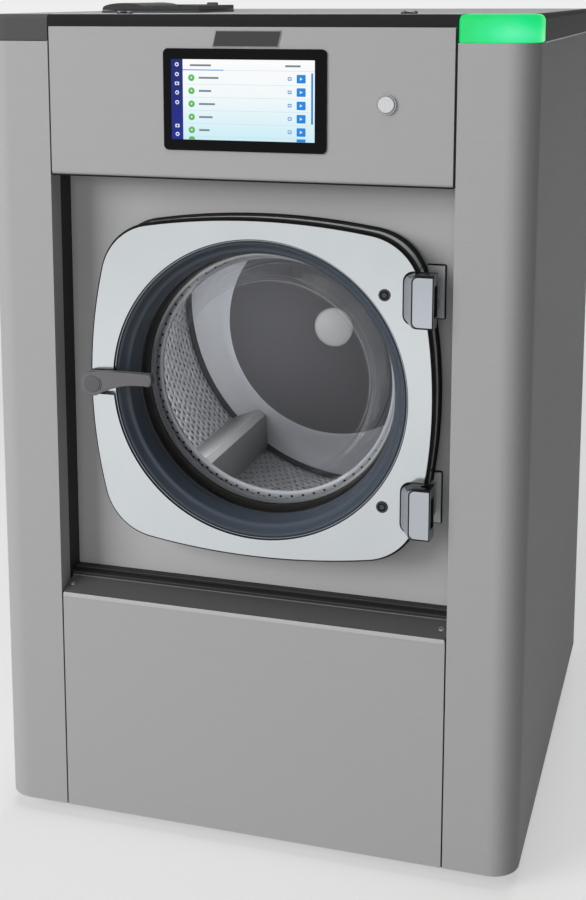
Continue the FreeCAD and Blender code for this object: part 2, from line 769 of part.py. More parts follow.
def make_top():
    """Top panel, its dark trims and the status lens in the right front corner."""
    edge = half_width - trim_width
    deck_y = front + band_depth
    height = (cap_bottom, top_z)
    outer = box(both(edge), (deck_y, rear), height)
    inner = box(both(edge - metal), (deck_y + metal, rear - metal), (cap_bottom, top_z - metal))
    notch = box((recess_half, edge), (deck_y, front + lens_depth), height)
    mouth = box(about(hopper_x, hopper_width / 2), about(hopper_y, hopper_length / 2), height)
    relief = box(both(recess_half), (deck_y, frame_front + loose), (cap_bottom, control_top))
    node("top_panel", cut(outer, inner, notch, mouth, relief))

    band = box(both(recess_half), (front, deck_y), (control_top, top_z))
    node("top_trim_front", rounded(band, trim_round, edge_on(y=front, z=top_z)))

    points = [
        (-half_width, rear),
        (-half_width, front + corner_radius, corner_radius),
        (corner_radius - half_width, front),
        (-recess_half, front),
        (-recess_half, deck_y),
        (-edge, deck_y),
        (-edge, rear),
    ]
    left = padded("XY_Plane", points, cap_height, (0, 0, cap_bottom))

    def outer_top(edge_shape):
        middle = edge_shape.valueAt((edge_shape.FirstParameter + edge_shape.LastParameter) / 2)
        on_side = near(middle.x, -half_width) or near(middle.y, front)
        on_bend = edge_shape.Curve.TypeId == "Part::GeomCircle"
        return edge_on(z=top_z)(edge_shape) and (on_side or on_bend)

    node("top_trim_left", rounded(left, trim_round, outer_top))

    right = box((edge, half_width), (front + lens_depth, rear), height)
    node("top_trim_right", rounded(right, trim_round, edge_on(x=half_width, z=top_z)))

    points = [
        (recess_half, front),
        (half_width - corner_radius, front, corner_radius),
        (half_width, front + corner_radius),
        (half_width, front + lens_depth),
        (recess_half, front + lens_depth),
    ]
    block = padded("XY_Plane", points, cap_height, (0, 0, cap_bottom))

    def lens_top(edge_shape):
        middle = edge_shape.valueAt((edge_shape.FirstParameter + edge_shape.LastParameter) / 2)
        behind = near(middle.y, front + lens_depth) or near(middle.x, recess_half)
        return edge_on(z=top_z)(edge_shape) and not behind

    block = rounded(block, trim_round, lens_top)
    bend = corner_radius - lens_wall
    points = [
        (recess_half + lens_wall, front + lens_wall),
        (half_width - corner_radius, front + lens_wall, bend),
        (half_width - lens_wall, front + corner_radius),
        (half_width - lens_wall, front + lens_depth - lens_wall),
        (recess_half + lens_wall, front + lens_depth - lens_wall),
    ]
    hollow = padded("XY_Plane", points, cap_height - trim_round - lens_wall, (0, 0, cap_bottom))
    node("status_lens", cut(block, hollow))


def make_controls():
    """Control panel, touch screen and push button."""
    panel = tray(control_bottom, control_top, control_bottom)
    screen_z = control_top - screen_drop - screen_height / 2
    half_w = screen_width / 2
    half_h = screen_height / 2
    lap = screen_lap
    wall = (front, front + metal)
    window = box(both(half_w - lap), wall, about(screen_z, half_h - lap))
    button_z = control_top - button_drop
    sleeve = button_radius + loose + bezel_wall
    hole = rod_y(button_x, button_z, *wall, sleeve + loose)
    node("control_panel", cut(panel, window, hole))

    glass = box(both(half_w), (front - screen_glass, front), about(screen_z, half_h))

    def corner(edge):
        span = edge.BoundBox
        return span.YLength > screen_glass.value / 2

    node("display_glass", rounded(glass, screen_round, corner))

    reach = half_w - lap + housing_lap
    depth = (front + metal, front + metal + housing_depth)
    case = box(both(reach), depth, about(screen_z, half_h - lap + housing_lap))
    module = box(both(half_w - lap - loose), wall, about(screen_z, half_h - lap - loose))
    node("display_housing", fuse(case, module))

    inside = button_radius + loose
    stop = front + button_length - button_proud + button_room
    points = [
        (front - bezel_proud, inside),
        (stop, inside),
        (stop, 0),
        (stop + switch_depth, 0),
        (stop + switch_depth, sleeve),
        (front, sleeve),
        (front, bezel_radius),
        (front - bezel_proud, bezel_radius),
    ]
    node("button_bezel", lathe(points, button_x, button_z))
    cap = rod_y(button_x, button_z, front - button_proud, front - button_proud + button_length, button_radius)
    node("button_cap", cap)


def make_hopper():
    """Detergent hopper in the top panel, with its hinged lid."""
    bottom = top_z - hopper_height
    rim_z = top_z + hopper_rim
    hinge_line = hopper_y + hopper_length / 2 + lid_hinge_back
    hinge_z = rim_z + lid_knuckle + loose
    half_w = hopper_width / 2
    half_l = hopper_length / 2
    back = hinge_line + lid_knuckle + loose
    shell = box(about(hopper_x, half_w), about(hopper_y, half_l), (bottom, top_z))
    rim = box(about(hopper_x, half_w + hopper_lip), (hopper_y - half_l - hopper_lip, back), (top_z, rim_z))
    spout = rod_z(hopper_x, hopper_y, bottom - spout_length, bottom, spout_radius)
    bore = rod_z(hopper_x, hopper_y, bottom - spout_length, bottom + hopper_wall, spout_radius - spout_wall)
    cells = []
    cell_width = (hopper_width - hopper_wall * 4) / 3
    for index in range(3):
        low = hopper_x - half_w + hopper_wall + (cell_width + hopper_wall) * index
        run = about(hopper_y, half_l - hopper_wall)
        cells.append(box((low, low + cell_width), run, (bottom + hopper_wall, rim_z)))
    ears = []
    for side in (-1, 1):
        close = lid_knuckle_half + loose
        span = (hopper_x + close, hopper_x + close + lid_ear)
        if side < 0:
            span = (hopper_x - close - lid_ear, hopper_x - close)
        ears.append(rod_x(hinge_line, hinge_z, *span, lid_knuckle))
        ears.append(box(span, about(hinge_line, lid_knuckle), (rim_z, hinge_z)))
    pin = rod_x(hinge_line, hinge_z, *about(hopper_x, lid_knuckle_half + lid_ear), lid_pin_radius)
    node("hopper_box", fuse(cut(fuse(shell, rim, spout), *cells, bore), *ears, pin))

    lid_low = rim_z + loose
    lid_high = lid_low + lid_thickness
    lid_back = hinge_line - lid_knuckle - loose
    run = (hopper_y - half_l - hopper_lip, lid_back)
    plate = box(about(hopper_x, half_w + hopper_lip), run, (lid_low, lid_high))
    web = box(about(hopper_x, lid_knuckle_half), (lid_back, hinge_line), (lid_low + loose, lid_high))
    across = about(hopper_x, lid_knuckle_half)
    knuckle = rod_x(hinge_line, hinge_z, *across, lid_knuckle)
    bore = rod_x(hinge_line, hinge_z, *across, lid_pin_radius + running)
    grip_top = lid_high + grip_height
    grip = rod_z(hopper_x - grip_offset, hopper_y - grip_offset, lid_high, grip_top, grip_radius)
    grip = rounded(grip, grip_height * 0.7, edge_on(z=grip_top))
    node("hopper_lid", cut(fuse(plate, web, knuckle, grip), bore))


def door_outline(inset, start, end):
    """The door's rounded-square form, drawn in all round by an inset."""
    side = door_side_radius - inset
    top = door_top_radius - inset
    swing = door_half_width - door_side_radius
    lift = door_half_height - door_top_radius
    shape = common(
        rod_y(door_x + swing, door_z, start, end, side),
        rod_y(door_x - swing, door_z, start, end, side),
        rod_y(door_x, door_z + lift, start, end, top),
        rod_y(door_x, door_z - lift, start, end, top),
    )

    def corner(edge):
        span = edge.BoundBox
        return span.YLength > span.XLength + span.ZLength

    return rounded(shape, door_corner - inset, corner)


def hinge_levels():
    """The heights of the two hinges."""
    return about(door_z, hinge_rise)


def make_door():
    """Chromed door frame with its ring, glass bowl, clamp ring and plugs."""
    skin = door_face + door_skin
    body = rounded(door_outline(as_dim(0), door_face, door_back), door_edge, edge_on(y=door_face))
    hollow = cut(door_outline(door_wall, skin, door_back),
                 rod_y(door_x, door_z, skin, door_back, window_radius + window_wall))
    boss = rod_y(handle_x, handle_z, skin, door_back, spindle_boss)
    tools = [rod_y(door_x, door_z, door_face, door_back, window_radius)]
    channel = hub_radius + hub_slack
    depth = (door_face, door_face + channel_depth)
    tools.append(box((handle_x - channel, door_x), depth, about(handle_z, channel)))
    tools.append(rod_y(handle_x, handle_z, door_face, door_back, spindle_radius + running))
    arm_room = hinge_arm + hinge_slack * 2
    for level in hinge_levels():
        span_z = about(level, hinge_height / 2 - hinge_cap + hinge_slack)
        tools.append(box((hinge_x - arm_room, hinge_x + arm_room * 3), (door_face, door_back), span_z))
    plugs = []
    for z in about(door_z, plug_rise):
        x = door_x + plug_side
        tools.append(rod_y(x, z, door_face, skin, plug_stem))
        head = rod_y(x, z, door_face - plug_proud, door_face, plug_radius)
        head = rounded(head, plug_proud * 0.6, edge_on(y=door_face - plug_proud))
        plugs.append(fuse(head, rod_y(x, z, door_face, skin, plug_stem)))
    node("door_frame", cut(fuse(cut(body, hollow), boss), *tools))
    node("door_plugs", group(*plugs))

    ring_front = door_face + ring_setback
    ring_back = door_face + ring_setback + ring_depth
    inner = window_radius - ring_width
    shelf = window_radius - ring_step
    points = [
        (ring_front, window_radius),
        (ring_front, window_radius - ring_setback),
        (ring_front + ring_step, shelf),
        (ring_front + ring_step * 1.5, shelf - ring_setback),
        (ring_back - ring_step, inner),
        (ring_back, inner),
        (ring_back, window_radius),
    ]
    node("door_ring", lathe(points))

    glass_back = ring_back + glass_wall
    mouth = inner - glass_wall / 2
    flange = inner + glass_lap
    floor = ring_back + bowl_depth
    points = [
        (ring_back, flange),
        (ring_back, mouth),
        (floor - glass_wall, bowl_radius),
        (floor, bowl_radius - glass_wall * 2),
        (floor + bowl_crown, 0),
        (floor + bowl_crown + glass_wall, 0),
        (floor + glass_wall, bowl_radius - glass_wall * 1.5),
        (floor - glass_wall / 2, bowl_radius + glass_wall),
        (glass_back, mouth + glass_wall / 2),
        (glass_back, flange),
    ]
    node("door_glass", lathe(points))

    points = [
        (ring_back, flange),
        (glass_back, flange),
        (glass_back, mouth + glass_wall),
        (door_back, mouth + glass_wall),
        (door_back, window_radius),
        (ring_back, window_radius),
    ]
    node("door_clamp_ring", lathe(points))


def make_hinges():
    """Hinge blocks on the door, their brackets on the door panel, and the pins."""
    blocks = []
    brackets = []
    pins = []
    right = hinge_x + hinge_right
    left = hinge_x - hinge_left
    face = front - hinge_proud
    for level in hinge_levels():
        height = about(level, hinge_height / 2)
        block = box((left, right), (face, door_face), height)

        def left_corner(edge):
            span = edge.BoundBox
            return near(span.XMax, left) and span.YLength > hinge_proud.value

        block = rounded(block, hinge_round, left_corner)
        flare = box((left - hinge_flare, hinge_x - hinge_arm - hinge_slack * 2),
                    (door_face - hinge_flare_depth, door_face), about(level, hinge_height / 2 - hinge_round))
        slot_z = about(level, hinge_height / 2 - hinge_cap)
        slot_x = (hinge_x - hinge_barrel - hinge_slack, right)
        slot = box(slot_x, (face + hinge_front_wall, door_face), slot_z)
        bore = rod_z(hinge_x, hinge_y, *height, hinge_pin_radius)
        blocks.append(cut(fuse(block, flare), slot, bore))
        pins.append(rod_z(hinge_x, hinge_y, *height, hinge_pin_radius))

        knuckle = about(level, hinge_height / 2 - hinge_cap - loose)
        plate_y = panel_y - hinge_plate
        barrel = rod_z(hinge_x, hinge_y, *knuckle, hinge_barrel)
        arm = box(about(hinge_x, hinge_arm), (hinge_y, plate_y), knuckle)
        plate = box((hinge_x - hinge_right, right), (plate_y, panel_y), height)
        eye = rod_z(hinge_x, hinge_y, *knuckle, hinge_pin_radius + running)
        brackets.append(cut(fuse(barrel, arm, plate), eye))
    node("hinge_blocks", group(*blocks))
    node("hinge_brackets", group(*brackets))
    node("hinge_pins", group(*pins))


def make_handle():
    """Lever handle, its spindle with the latch cam, and the door lock."""
    face = front - handle_proud
    seat = door_face + channel_depth - loose
    hub = rod_y(handle_x, handle_z, face + lever_thickness, seat, hub_radius - hub_slack)
    low = lever_bend * 0.134 - hub_radius * 0.866
    points = [
        (hub_radius * -0.075, hub_radius * 0.9972, hub_radius),
        (-hub_radius, 0, hub_radius),
        (hub_radius * 0.5, hub_radius * -0.866, -lever_bend),
        (hub_radius * 0.5 + lever_bend * 0.5, low),
        (lever_length - lever_nose, low, lever_nose),
        (lever_length, low + lever_nose),
        (lever_length, lever_top - lever_nose, lever_nose),
        (lever_length - lever_nose, lever_top, lever_crown),
    ]
    lever = padded("XZ_Plane", points, lever_thickness, (handle_x, face, handle_z), backwards=True)
    node("door_handle", fuse(hub, lever))

    cam_y = door_back + loose * 2
    spindle = rod_y(handle_x, handle_z, seat, cam_y, spindle_radius)
    cam_z = (cam_y, cam_y + cam_plate)
    pin_x = handle_x - cam_throw
    plate = fuse(
        rod_y(handle_x, handle_z, *cam_z, cam_pin_radius * 1.3),
        rod_y(pin_x, handle_z, *cam_z, cam_pin_radius * 1.3),
        box((pin_x, handle_x), cam_z, about(handle_z, cam_pin_radius * 1.3)),
    )
    pin_end = panel_y + cam_pin_reach
    pin = rod_y(pin_x, handle_z, cam_y + cam_plate, pin_end, cam_pin_radius)
    node("latch_spindle", fuse(spindle, plate, pin))

    back = panel_y + metal
    floor = pin_end + hinge_slack
    span = (handle_x - lock_left, handle_x + lock_right)
    case = box(span, (back, floor + lock_floor), about(handle_z, lock_height / 2))
    node("lock_unit", cut(case, rod_y(handle_x, handle_z, back, floor, lock_radius)))


def make_boot():
    """Rubber boot between the door panel and the tub's collar."""
    inside = boot_radius - boot_wall
    outside = boot_radius + boot_flange
    collar = drum_lip + collar_gap + collar_wall + loose
    lip = door_back + loose
    groove = panel_y + metal
    fold_y = groove + boot_lip + boot_fold
    end = tub_y - loose
    points = [
        (lip, inside),
        (lip, outside),
        (panel_y, outside),
        (panel_y, boot_radius),
        (groove, boot_radius),
        (groove, outside),
        (groove + boot_lip, outside),
        (groove + boot_lip, boot_radius),
        (fold_y, boot_radius + boot_fold),
        (fold_y + boot_fold, collar + boot_wall),
        (end, collar + boot_wall),
        (end, collar),
        (fold_y + boot_fold / 2, collar),
        (fold_y, boot_radius),
        (groove + boot_lip, inside),
    ]
    node("door_boot", lathe(points))


def make_tub():
    """Tub front with its collar, tub shell with inlet and strut brackets, dished tub back."""
    mouth = drum_lip + collar_gap
    points = [
        (tub_y - collar_length, mouth),
        (tub_y - collar_length, mouth + collar_wall),
        (tub_y, mouth + collar_wall),
        (tub_y, tub_outer),
        (shell_y, tub_outer),
        (shell_y, mouth),
    ]
    node("tub_front", lathe(points))

    shell = ring(shell_y, tub_end, tub_inner, tub_outer)
    core = rod_y(door_x, door_z, shell_y, tub_end, tub_outer)
    inlet = rod_z(hopper_x, hopper_y, door_z, inlet_level, spout_radius)
    bore = rod_z(hopper_x, hopper_y, door_z, inlet_level, spout_radius - spout_wall)
    brackets = []
    for x, y in strut_places():
        block = box(about(x, seat_radius), about(y, seat_radius), (strut_top, door_z))
        brackets.append(block)
    outside = cut(fuse(inlet, *brackets), core)
    drain_bore = rod_z(drain_x, drain_y, door_z - tub_outer - drain_drop, door_z, drain_neck - drain_wall)
    node("tub_shell", cut(fuse(shell, outside), bore, drain_bore))

    wide = drum_radius - drum_back_rim + tub_cone_gap
    narrow = drum_disc + tub_cone_gap / 2
    points = [
        (tub_end, tub_outer),
        (tub_end, wide),
        (hub_y, narrow),
        (hub_y, tub_hub_radius),
        (housing_y, tub_hub_radius),
        (housing_y, narrow - tub_back_plate / 2),
        (tub_end + tub_back_plate, wide - tub_back_plate / 2),
        (tub_end + tub_back_plate, tub_outer),
    ]
    heaters = []
    holes = []
    circle = drum_radius + tub_gap / 2
    for index in (-1, 0, 1):
        x = door_x + heater_spread * index
        depth = circle - (heater_spread * heater_spread * abs(index)) / (circle * 2)
        heaters.append(rod_y(x, door_z - depth, drum_y, tub_end + heater_tail, heater_radius))
        holes.append(rod_y(x, door_z - depth, tub_end, tub_end + tub_back_plate, heater_radius))
    node("tub_back", cut(lathe(points), *holes))
    node("heating_elements", group(*heaters))


def make_drum():
    """Drum front, shell, dished back and three lifters."""
    inner = drum_radius - drum_wall
    points = [
        (drum_y - drum_wall, drum_radius),
        (lip_y + drum_wall * 3, drum_lip + drum_dish),
        (lip_y, drum_lip + drum_wall * 2),
        (lip_y + drum_wall, drum_lip),
        (lip_y + drum_wall * 3, drum_lip),
        (lip_y + drum_wall * 4, drum_lip + drum_dish),
        (drum_y, inner),
        (drum_y, drum_radius),
    ]
    node("drum_front", lathe(points))
    node("drum_shell", ring(drum_y, drum_end, inner, drum_radius))
    wide = drum_radius - drum_back_rim
    back = drum_back_wall
    points = [
        (disc_y - drum_boss_rise, 0),
        (disc_y - drum_boss_rise, drum_boss),
        (disc_y, drum_boss),
        (disc_y, drum_disc),
        (drum_end, wide),
        (drum_end, drum_radius),
        (drum_end + back, drum_radius),
        (drum_end + back, wide),
        (disc_y + back, drum_disc),
        (disc_y + back, 0),
    ]
    node("drum_back", lathe(points))

    lifters = []
    start = drum_y + lifter_front_gap
    length = drum_length - lifter_front_gap - lifter_back_gap
    crest = inner - lifter_height
    wall = lifter_wall
    for angle in (231, 351, 111):
        skins = []
        for inset in (as_dim(0), wall):
            points = [
                (drum_radius, lifter_foot / 2 - inset),
                (crest + inset, lifter_crest / 2 - inset),
                (crest + inset, inset - lifter_crest / 2),
                (drum_radius, inset - lifter_foot / 2),
            ]
            place = (door_x, start + inset, door_z)
            prism = padded("XZ_Plane", points, length - inset * 2, place, backwards=True)
            prism.Placement.Rotation = FreeCAD.Rotation(FreeCAD.Vector(0, 1, 0), -angle)
            skins.append(common(prism, rod_y(door_x, door_z, drum_y, drum_end, inner)))
        lifters.append(cut(*skins))
    node("drum_lifters", group(*lifters))


def make_drive():
    """Drum shaft in its bearings, pulleys, belt and motor."""
    flange_y = disc_y + drum_back_wall
    nose_end = pulley_y + pulley_length
    points = [
        (flange_y, 0),
        (flange_y, shaft_flange),
        (flange_y + shaft_flange_plate, shaft_flange),
        (flange_y + shaft_flange_plate, shaft_radius),
        (housing_end, shaft_radius),
        (housing_end, shaft_nose),
        (nose_end, shaft_nose),
        (nose_end, 0),
    ]
    node("drum_shaft", lathe(points))

    points = [
        (hub_y, bearing_radius),
        (hub_y, tub_hub_radius),
        (housing_y, tub_hub_radius),
        (housing_y, housing_flange),
        (housing_y + housing_flange_plate, housing_flange),
        (housing_y + housing_flange_plate, housing_radius),
        (housing_end, housing_radius),
        (housing_end, bearing_radius),
    ]
    node("bearing_housing", lathe(points))
    starts = (hub_y + bearing_inset, housing_end - bearing_inset - bearing_width)
    bore = shaft_radius + running
    node("bearings", group(*[ring(y, y + bearing_width, bore, bearing_radius) for y in starts]))

    rim_inner = pulley_radius - pulley_rim
    rim_end = rim_y + pulley_rim_width
    web_y = rim_y + (pulley_rim_width - pulley_web) / 2
    points = [
        (pulley_y, shaft_nose),
        (pulley_y, pulley_hub),
        (web_y, pulley_hub),
        (web_y, rim_inner),
        (rim_y, rim_inner),
        (rim_y, pulley_radius),
        (rim_end, pulley_radius),
        (rim_end, rim_inner),
        (web_y + pulley_web, rim_inner),
        (web_y + pulley_web, pulley_hub),
        (pulley_y + pulley_length, pulley_hub),
        (pulley_y + pulley_length, shaft_nose),
    ]
    node("drum_pulley", lathe(points))

    rotor = rod_y(motor_x, motor_z, motor_y + motor_shaft_radius, rim_end, motor_shaft_radius)
    node("motor_shaft_pulley", fuse(rotor, rod_y(motor_x, motor_z, rim_y, rim_end, motor_pulley_radius)))
    case = rod_y(motor_x, motor_z, motor_y, housing_end, motor_radius)
    bore_y = motor_y + motor_shaft_radius - loose
    bore = rod_y(motor_x, motor_z, bore_y, housing_end, motor_shaft_radius + running)
    node("motor_housing", cut(case, bore))

    plates = []
    for place in (0.15, 0.4):
        low = motor_y + motor_length * place
        block = box(about(motor_x, motor_bracket_half), (low, low + motor_bracket_plate), (motor_z, door_z))
        tub_core = rod_y(door_x, door_z, shell_y, tub_end, tub_outer)
        motor_core = rod_y(motor_x, motor_z, motor_y, housing_end, motor_radius)
        plates.append(cut(block, tub_core, motor_core))
    node("motor_bracket", group(*plates))
    node("drive_belt", make_belt())


def make_belt():
    """Flat belt: two tangent runs and two arcs round the pulleys, clear of both by the loose fit."""
    big = FreeCAD.Vector(door_x.value, 0, door_z.value)
    small = FreeCAD.Vector(motor_x.value, 0, motor_z.value)
    line = small - big
    heading = math.atan2(line.z, line.x)
    lean = math.acos((pulley_radius.value - motor_pulley_radius.value) / line.Length)

    def loop(extra):
        def at(centre, radius, angle):
            reach = radius.value + extra.value
            return centre + FreeCAD.Vector(math.cos(angle), 0, math.sin(angle)) * reach

        upper, lower = heading + lean, heading - lean
        start, end = at(big, pulley_radius, upper), at(big, pulley_radius, lower)
        near_start, near_end = at(small, motor_pulley_radius, upper), at(small, motor_pulley_radius, lower)
        far = at(big, pulley_radius, heading + math.pi)
        tip = at(small, motor_pulley_radius, heading)
        return Part.Wire([
            Part.Arc(start, far, end).toShape(),
            Part.LineSegment(end, near_end).toShape(),
            Part.Arc(near_end, tip, near_start).toShape(),
            Part.LineSegment(near_start, start).toShape(),
        ])

    band = Part.Face(loop(loose + belt_thickness)).cut(Part.Face(loop(loose)))
    belt = doc.addObject("Part::Feature", "Belt")
    belt.Shape = band.extrude(FreeCAD.Vector(0, belt_width.value, 0))
    return put(belt, 0, rim_y + (pulley_rim_width - belt_width) / 2, 0)


def make_struts():
    """Four spring and damper struts between the base and the tub."""
    cylinders = []
    rods = []
    springs = []
    seat = base_top + damper_height
    for x, y in strut_places():
        plate = rod_z(x, y, seat - seat_plate, seat, seat_radius)
        body = fuse(rod_z(x, y, base_top, seat, damper_radius), plate)
        bore = rod_z(x, y, base_top + damper_floor, seat, damper_rod + loose)
        cylinders.append(cut(body, bore))
        rods.append(rod_z(x, y, seat - rod_overlap, strut_top, damper_rod))
        outer = rod_z(x, y, seat, strut_top - loose, spring_outer)
        springs.append(cut(outer, rod_z(x, y, seat, strut_top - loose, spring_outer - spring_wire)))
    node("damper_cylinders", group(*cylinders))
    node("damper_rods", group(*rods))
    node("suspension_springs", group(*springs))


def inlet_places():
    """Where the water comes in through the rear panel."""
    level = top_z - inlet_drop
    return [(x, level) for x in about(hopper_x, inlet_spacing / 2)]


def make_water():
    """Water inlets, hoses, drain valve and drain outlet."""
    inlets = []
    end = rear + rear_reach
    for x, z in inlet_places():
        body_y = rear_inside - inlet_length
        inlets.append(fuse(
            rod_y(x, z, body_y, rear_inside, inlet_body),
            rod_y(x, z, rear_inside, rear, inlet_thread + port_collar),
            rod_y(x, z, rear, end, inlet_thread),
            rod_y(x, z, hopper_y + hopper_length / 2, body_y, pipe_radius),
        ))
    node("water_inlets", group(*inlets))

    neck_low = door_z - tub_outer - drain_drop
    neck = rod_z(drain_x, drain_y, neck_low, door_z, drain_neck)
    neck = cut(neck, rod_y(door_x, door_z, shell_y, tub_end, tub_outer))
    half = drain_body / 2
    chest = box(about(drain_x, half), about(drain_y, half), (drain_z - half, neck_low))
    spout_end = drain_y + half + drain_spout
    spout = rod_y(drain_x, drain_z, drain_y + half, spout_end, drain_neck)
    bore = rod_y(drain_x, drain_z, drain_y, spout_end, drain_neck - drain_wall)
    throat = rod_z(drain_x, drain_y, drain_z, door_z, drain_neck - drain_wall)
    node("drain_valve", cut(fuse(neck, chest, spout), bore, throat))

    pipe_y = rear_inside - outlet_inside
    pipe = rod_y(drain_x, drain_z, pipe_y, end, drain_neck)
    flange = rod_y(drain_x, drain_z, rear_inside - flange_plate, rear_inside, drain_neck + outlet_flange)
    collar = rod_y(drain_x, drain_z, rear_inside, rear, drain_neck + port_collar)
    way = rod_y(drain_x, drain_z, pipe_y, end, drain_neck - drain_wall)
    node("drain_outlet", cut(fuse(pipe, flange, collar), way))

    spout_level = top_z - hopper_height - spout_length
    hoses = [
        cut(rod_y(drain_x, drain_z, spout_end + loose, pipe_y - loose, drain_neck),
            rod_y(drain_x, drain_z, spout_end + loose, pipe_y - loose, drain_neck - drain_wall)),
        cut(rod_z(hopper_x, hopper_y, inlet_level + loose, spout_level - loose, spout_radius),
            rod_z(hopper_x, hopper_y, inlet_level + loose, spout_level - loose, spout_radius - spout_wall)),
    ]
    node("tub_hoses", group(*hoses))


def make_power():
    """Mains gland in the rear panel and the inverter on the base."""
    z = top_z - gland_drop
    nut_in = rod_y(gland_x, z, rear_inside - flange_plate, rear_inside, gland_nut)
    body = rod_y(gland_x, z, rear_inside, rear + rear_reach, gland_radius)
    nut_out = rod_y(gland_x, z, rear - metal, rear - metal + flange_plate, gland_nut)
    bore = rod_y(gland_x, z, rear_inside - flange_plate, rear + rear_reach, gland_bore)
    node("mains_gland", cut(fuse(nut_in, body, nut_out), bore))
    node("inverter_box", box((inverter_side, inverter_side + inverter_width),
                             (frame_front, frame_front + inverter_depth),
                             (base_top, base_top + inverter_height)))


def finish():
    """Recomputes, tests every object and every piece, and writes the pieces."""
    doc.recompute()
    broken = [obj.Name for obj in doc.Objects if "Invalid" in obj.State or "Error" in obj.State]
    if broken:
        raise SystemExit(f"failed objects: {broken}")
    for name, obj in nodes.items():
        if obj.Shape.isNull() or not obj.Shape.isValid() or not obj.Shape.Solids:
            raise SystemExit(f"bad shape: {name}")
    os.makedirs("parts", exist_ok=True)
    for name, obj in nodes.items():
        obj.Shape.exportStep(f"parts/{name}.step")
    print(len(nodes), "pieces written")


make_frame()
make_side_panel("side_panel_left", -1)
make_side_panel("side_panel_right", 1)
make_front()
make_rear()
make_top()
make_controls()
make_hopper()
make_door()
make_hinges()
make_handle()
make_boot()
make_tub()
make_drum()
make_drive()
make_struts()
make_water()
make_power()
finish()
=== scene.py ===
"""Looks of a washer-extractor: materials, detail pieces, studio light and camera.

Lengths are in mm until a mesh is made. The outline of a turned piece is a list of depth and radius pairs.
"""
import json
import math

import bpy
from mathutils import Matrix, Vector


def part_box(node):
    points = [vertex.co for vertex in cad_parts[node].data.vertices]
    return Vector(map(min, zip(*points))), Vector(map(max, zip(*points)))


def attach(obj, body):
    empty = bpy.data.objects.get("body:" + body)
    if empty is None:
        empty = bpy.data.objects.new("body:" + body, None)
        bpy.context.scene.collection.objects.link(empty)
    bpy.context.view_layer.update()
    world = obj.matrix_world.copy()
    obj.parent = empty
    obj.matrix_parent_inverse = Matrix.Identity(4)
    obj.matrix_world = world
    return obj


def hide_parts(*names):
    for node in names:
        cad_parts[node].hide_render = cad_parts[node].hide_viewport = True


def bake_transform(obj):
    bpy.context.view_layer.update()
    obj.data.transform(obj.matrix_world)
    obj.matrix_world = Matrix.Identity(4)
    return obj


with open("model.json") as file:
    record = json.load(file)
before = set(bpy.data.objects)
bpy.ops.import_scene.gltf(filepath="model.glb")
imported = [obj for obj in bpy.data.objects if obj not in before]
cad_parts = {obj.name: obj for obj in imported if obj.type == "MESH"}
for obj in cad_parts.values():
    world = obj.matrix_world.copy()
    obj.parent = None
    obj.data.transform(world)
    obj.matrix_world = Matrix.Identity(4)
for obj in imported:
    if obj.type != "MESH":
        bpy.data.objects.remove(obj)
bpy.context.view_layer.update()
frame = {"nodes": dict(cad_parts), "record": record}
scene = bpy.context.scene

MM = 0.001
TAU = math.tau
FRONT = -456
DOOR_X = 14.5
DOOR_Z = 781
DOOR_CENTRE = (DOOR_X, FRONT, DOOR_Z)
TO_BACK = (0, 1, 0)
UP = (0, 0, 1)
WHITE = (1, 1, 1, 1)


def extent(name):
    """The lowest and highest corner of a solid, in mm."""
    low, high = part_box(name)
    return low / MM, high / MM


def linear(*colour):
    """A colour given as screen values from 0 to 255, as light."""
    shares = [value / 255 for value in colour]
    return (*(s / 12.92 if s <= 0.04045 else ((s + 0.055) / 1.055) ** 2.4 for s in shares), 1)


def shaded(colour, factor):
    return tuple(min(1, c * factor) for c in colour[:3]) + (1,)


def feed(tree, node, *values, **inputs):
    """Gives a node's inputs, in order or by name, as constants or as outputs of other nodes."""
    named = [(name.replace("_", " "), value) for name, value in inputs.items()]
    for place, value in [*enumerate(values), *named]:
        socket = node.inputs[place]
        if isinstance(value, bpy.types.NodeSocket):
            tree.links.new(value, socket)
        else:
            socket.default_value = value


def add(tree, kind, output, *values, mode=None, **inputs):
    """The output of a new shader node whose inputs are given."""
    node = tree.nodes.new("ShaderNode" + kind)
    if mode:
        node.operation = mode
    feed(tree, node, *values, **inputs)
    return node.outputs[output]


def grain(tree, scale, stretch=(1, 1, 1)):
    """A noise in the object's own space, stretched along an axis for brushed metal."""
    place = add(tree, "TexCoord", "Object")
    place = add(tree, "Mapping", "Vector", Vector=place, Scale=stretch)
    return add(tree, "TexNoise", "Fac", Vector=place, Scale=scale, Detail=4)


def spread_over(tree, source, low, high, start=0.3, end=0.7):
    """Turns a value between start and end into a range of values."""
    return add(tree, "MapRange", "Result", source, start, end, low, high)


def ramp(tree, source, *stops):
    """Turns a value into colours, each stop a place and a colour."""
    node = tree.nodes.new("ShaderNodeValToRGB")
    bar = node.color_ramp.elements
    while len(bar) < len(stops):
        bar.new(1)
    for element, (place, colour) in zip(bar, stops):
        element.position = place
        element.color = colour
    feed(tree, node, source)
    return node.outputs["Color"]


def blank(name):
    """A new material with its node tree and its shader."""
    mat = bpy.data.materials.new(name)
    mat.use_nodes = True
    return mat, mat.node_tree, mat.node_tree.nodes["Principled BSDF"]


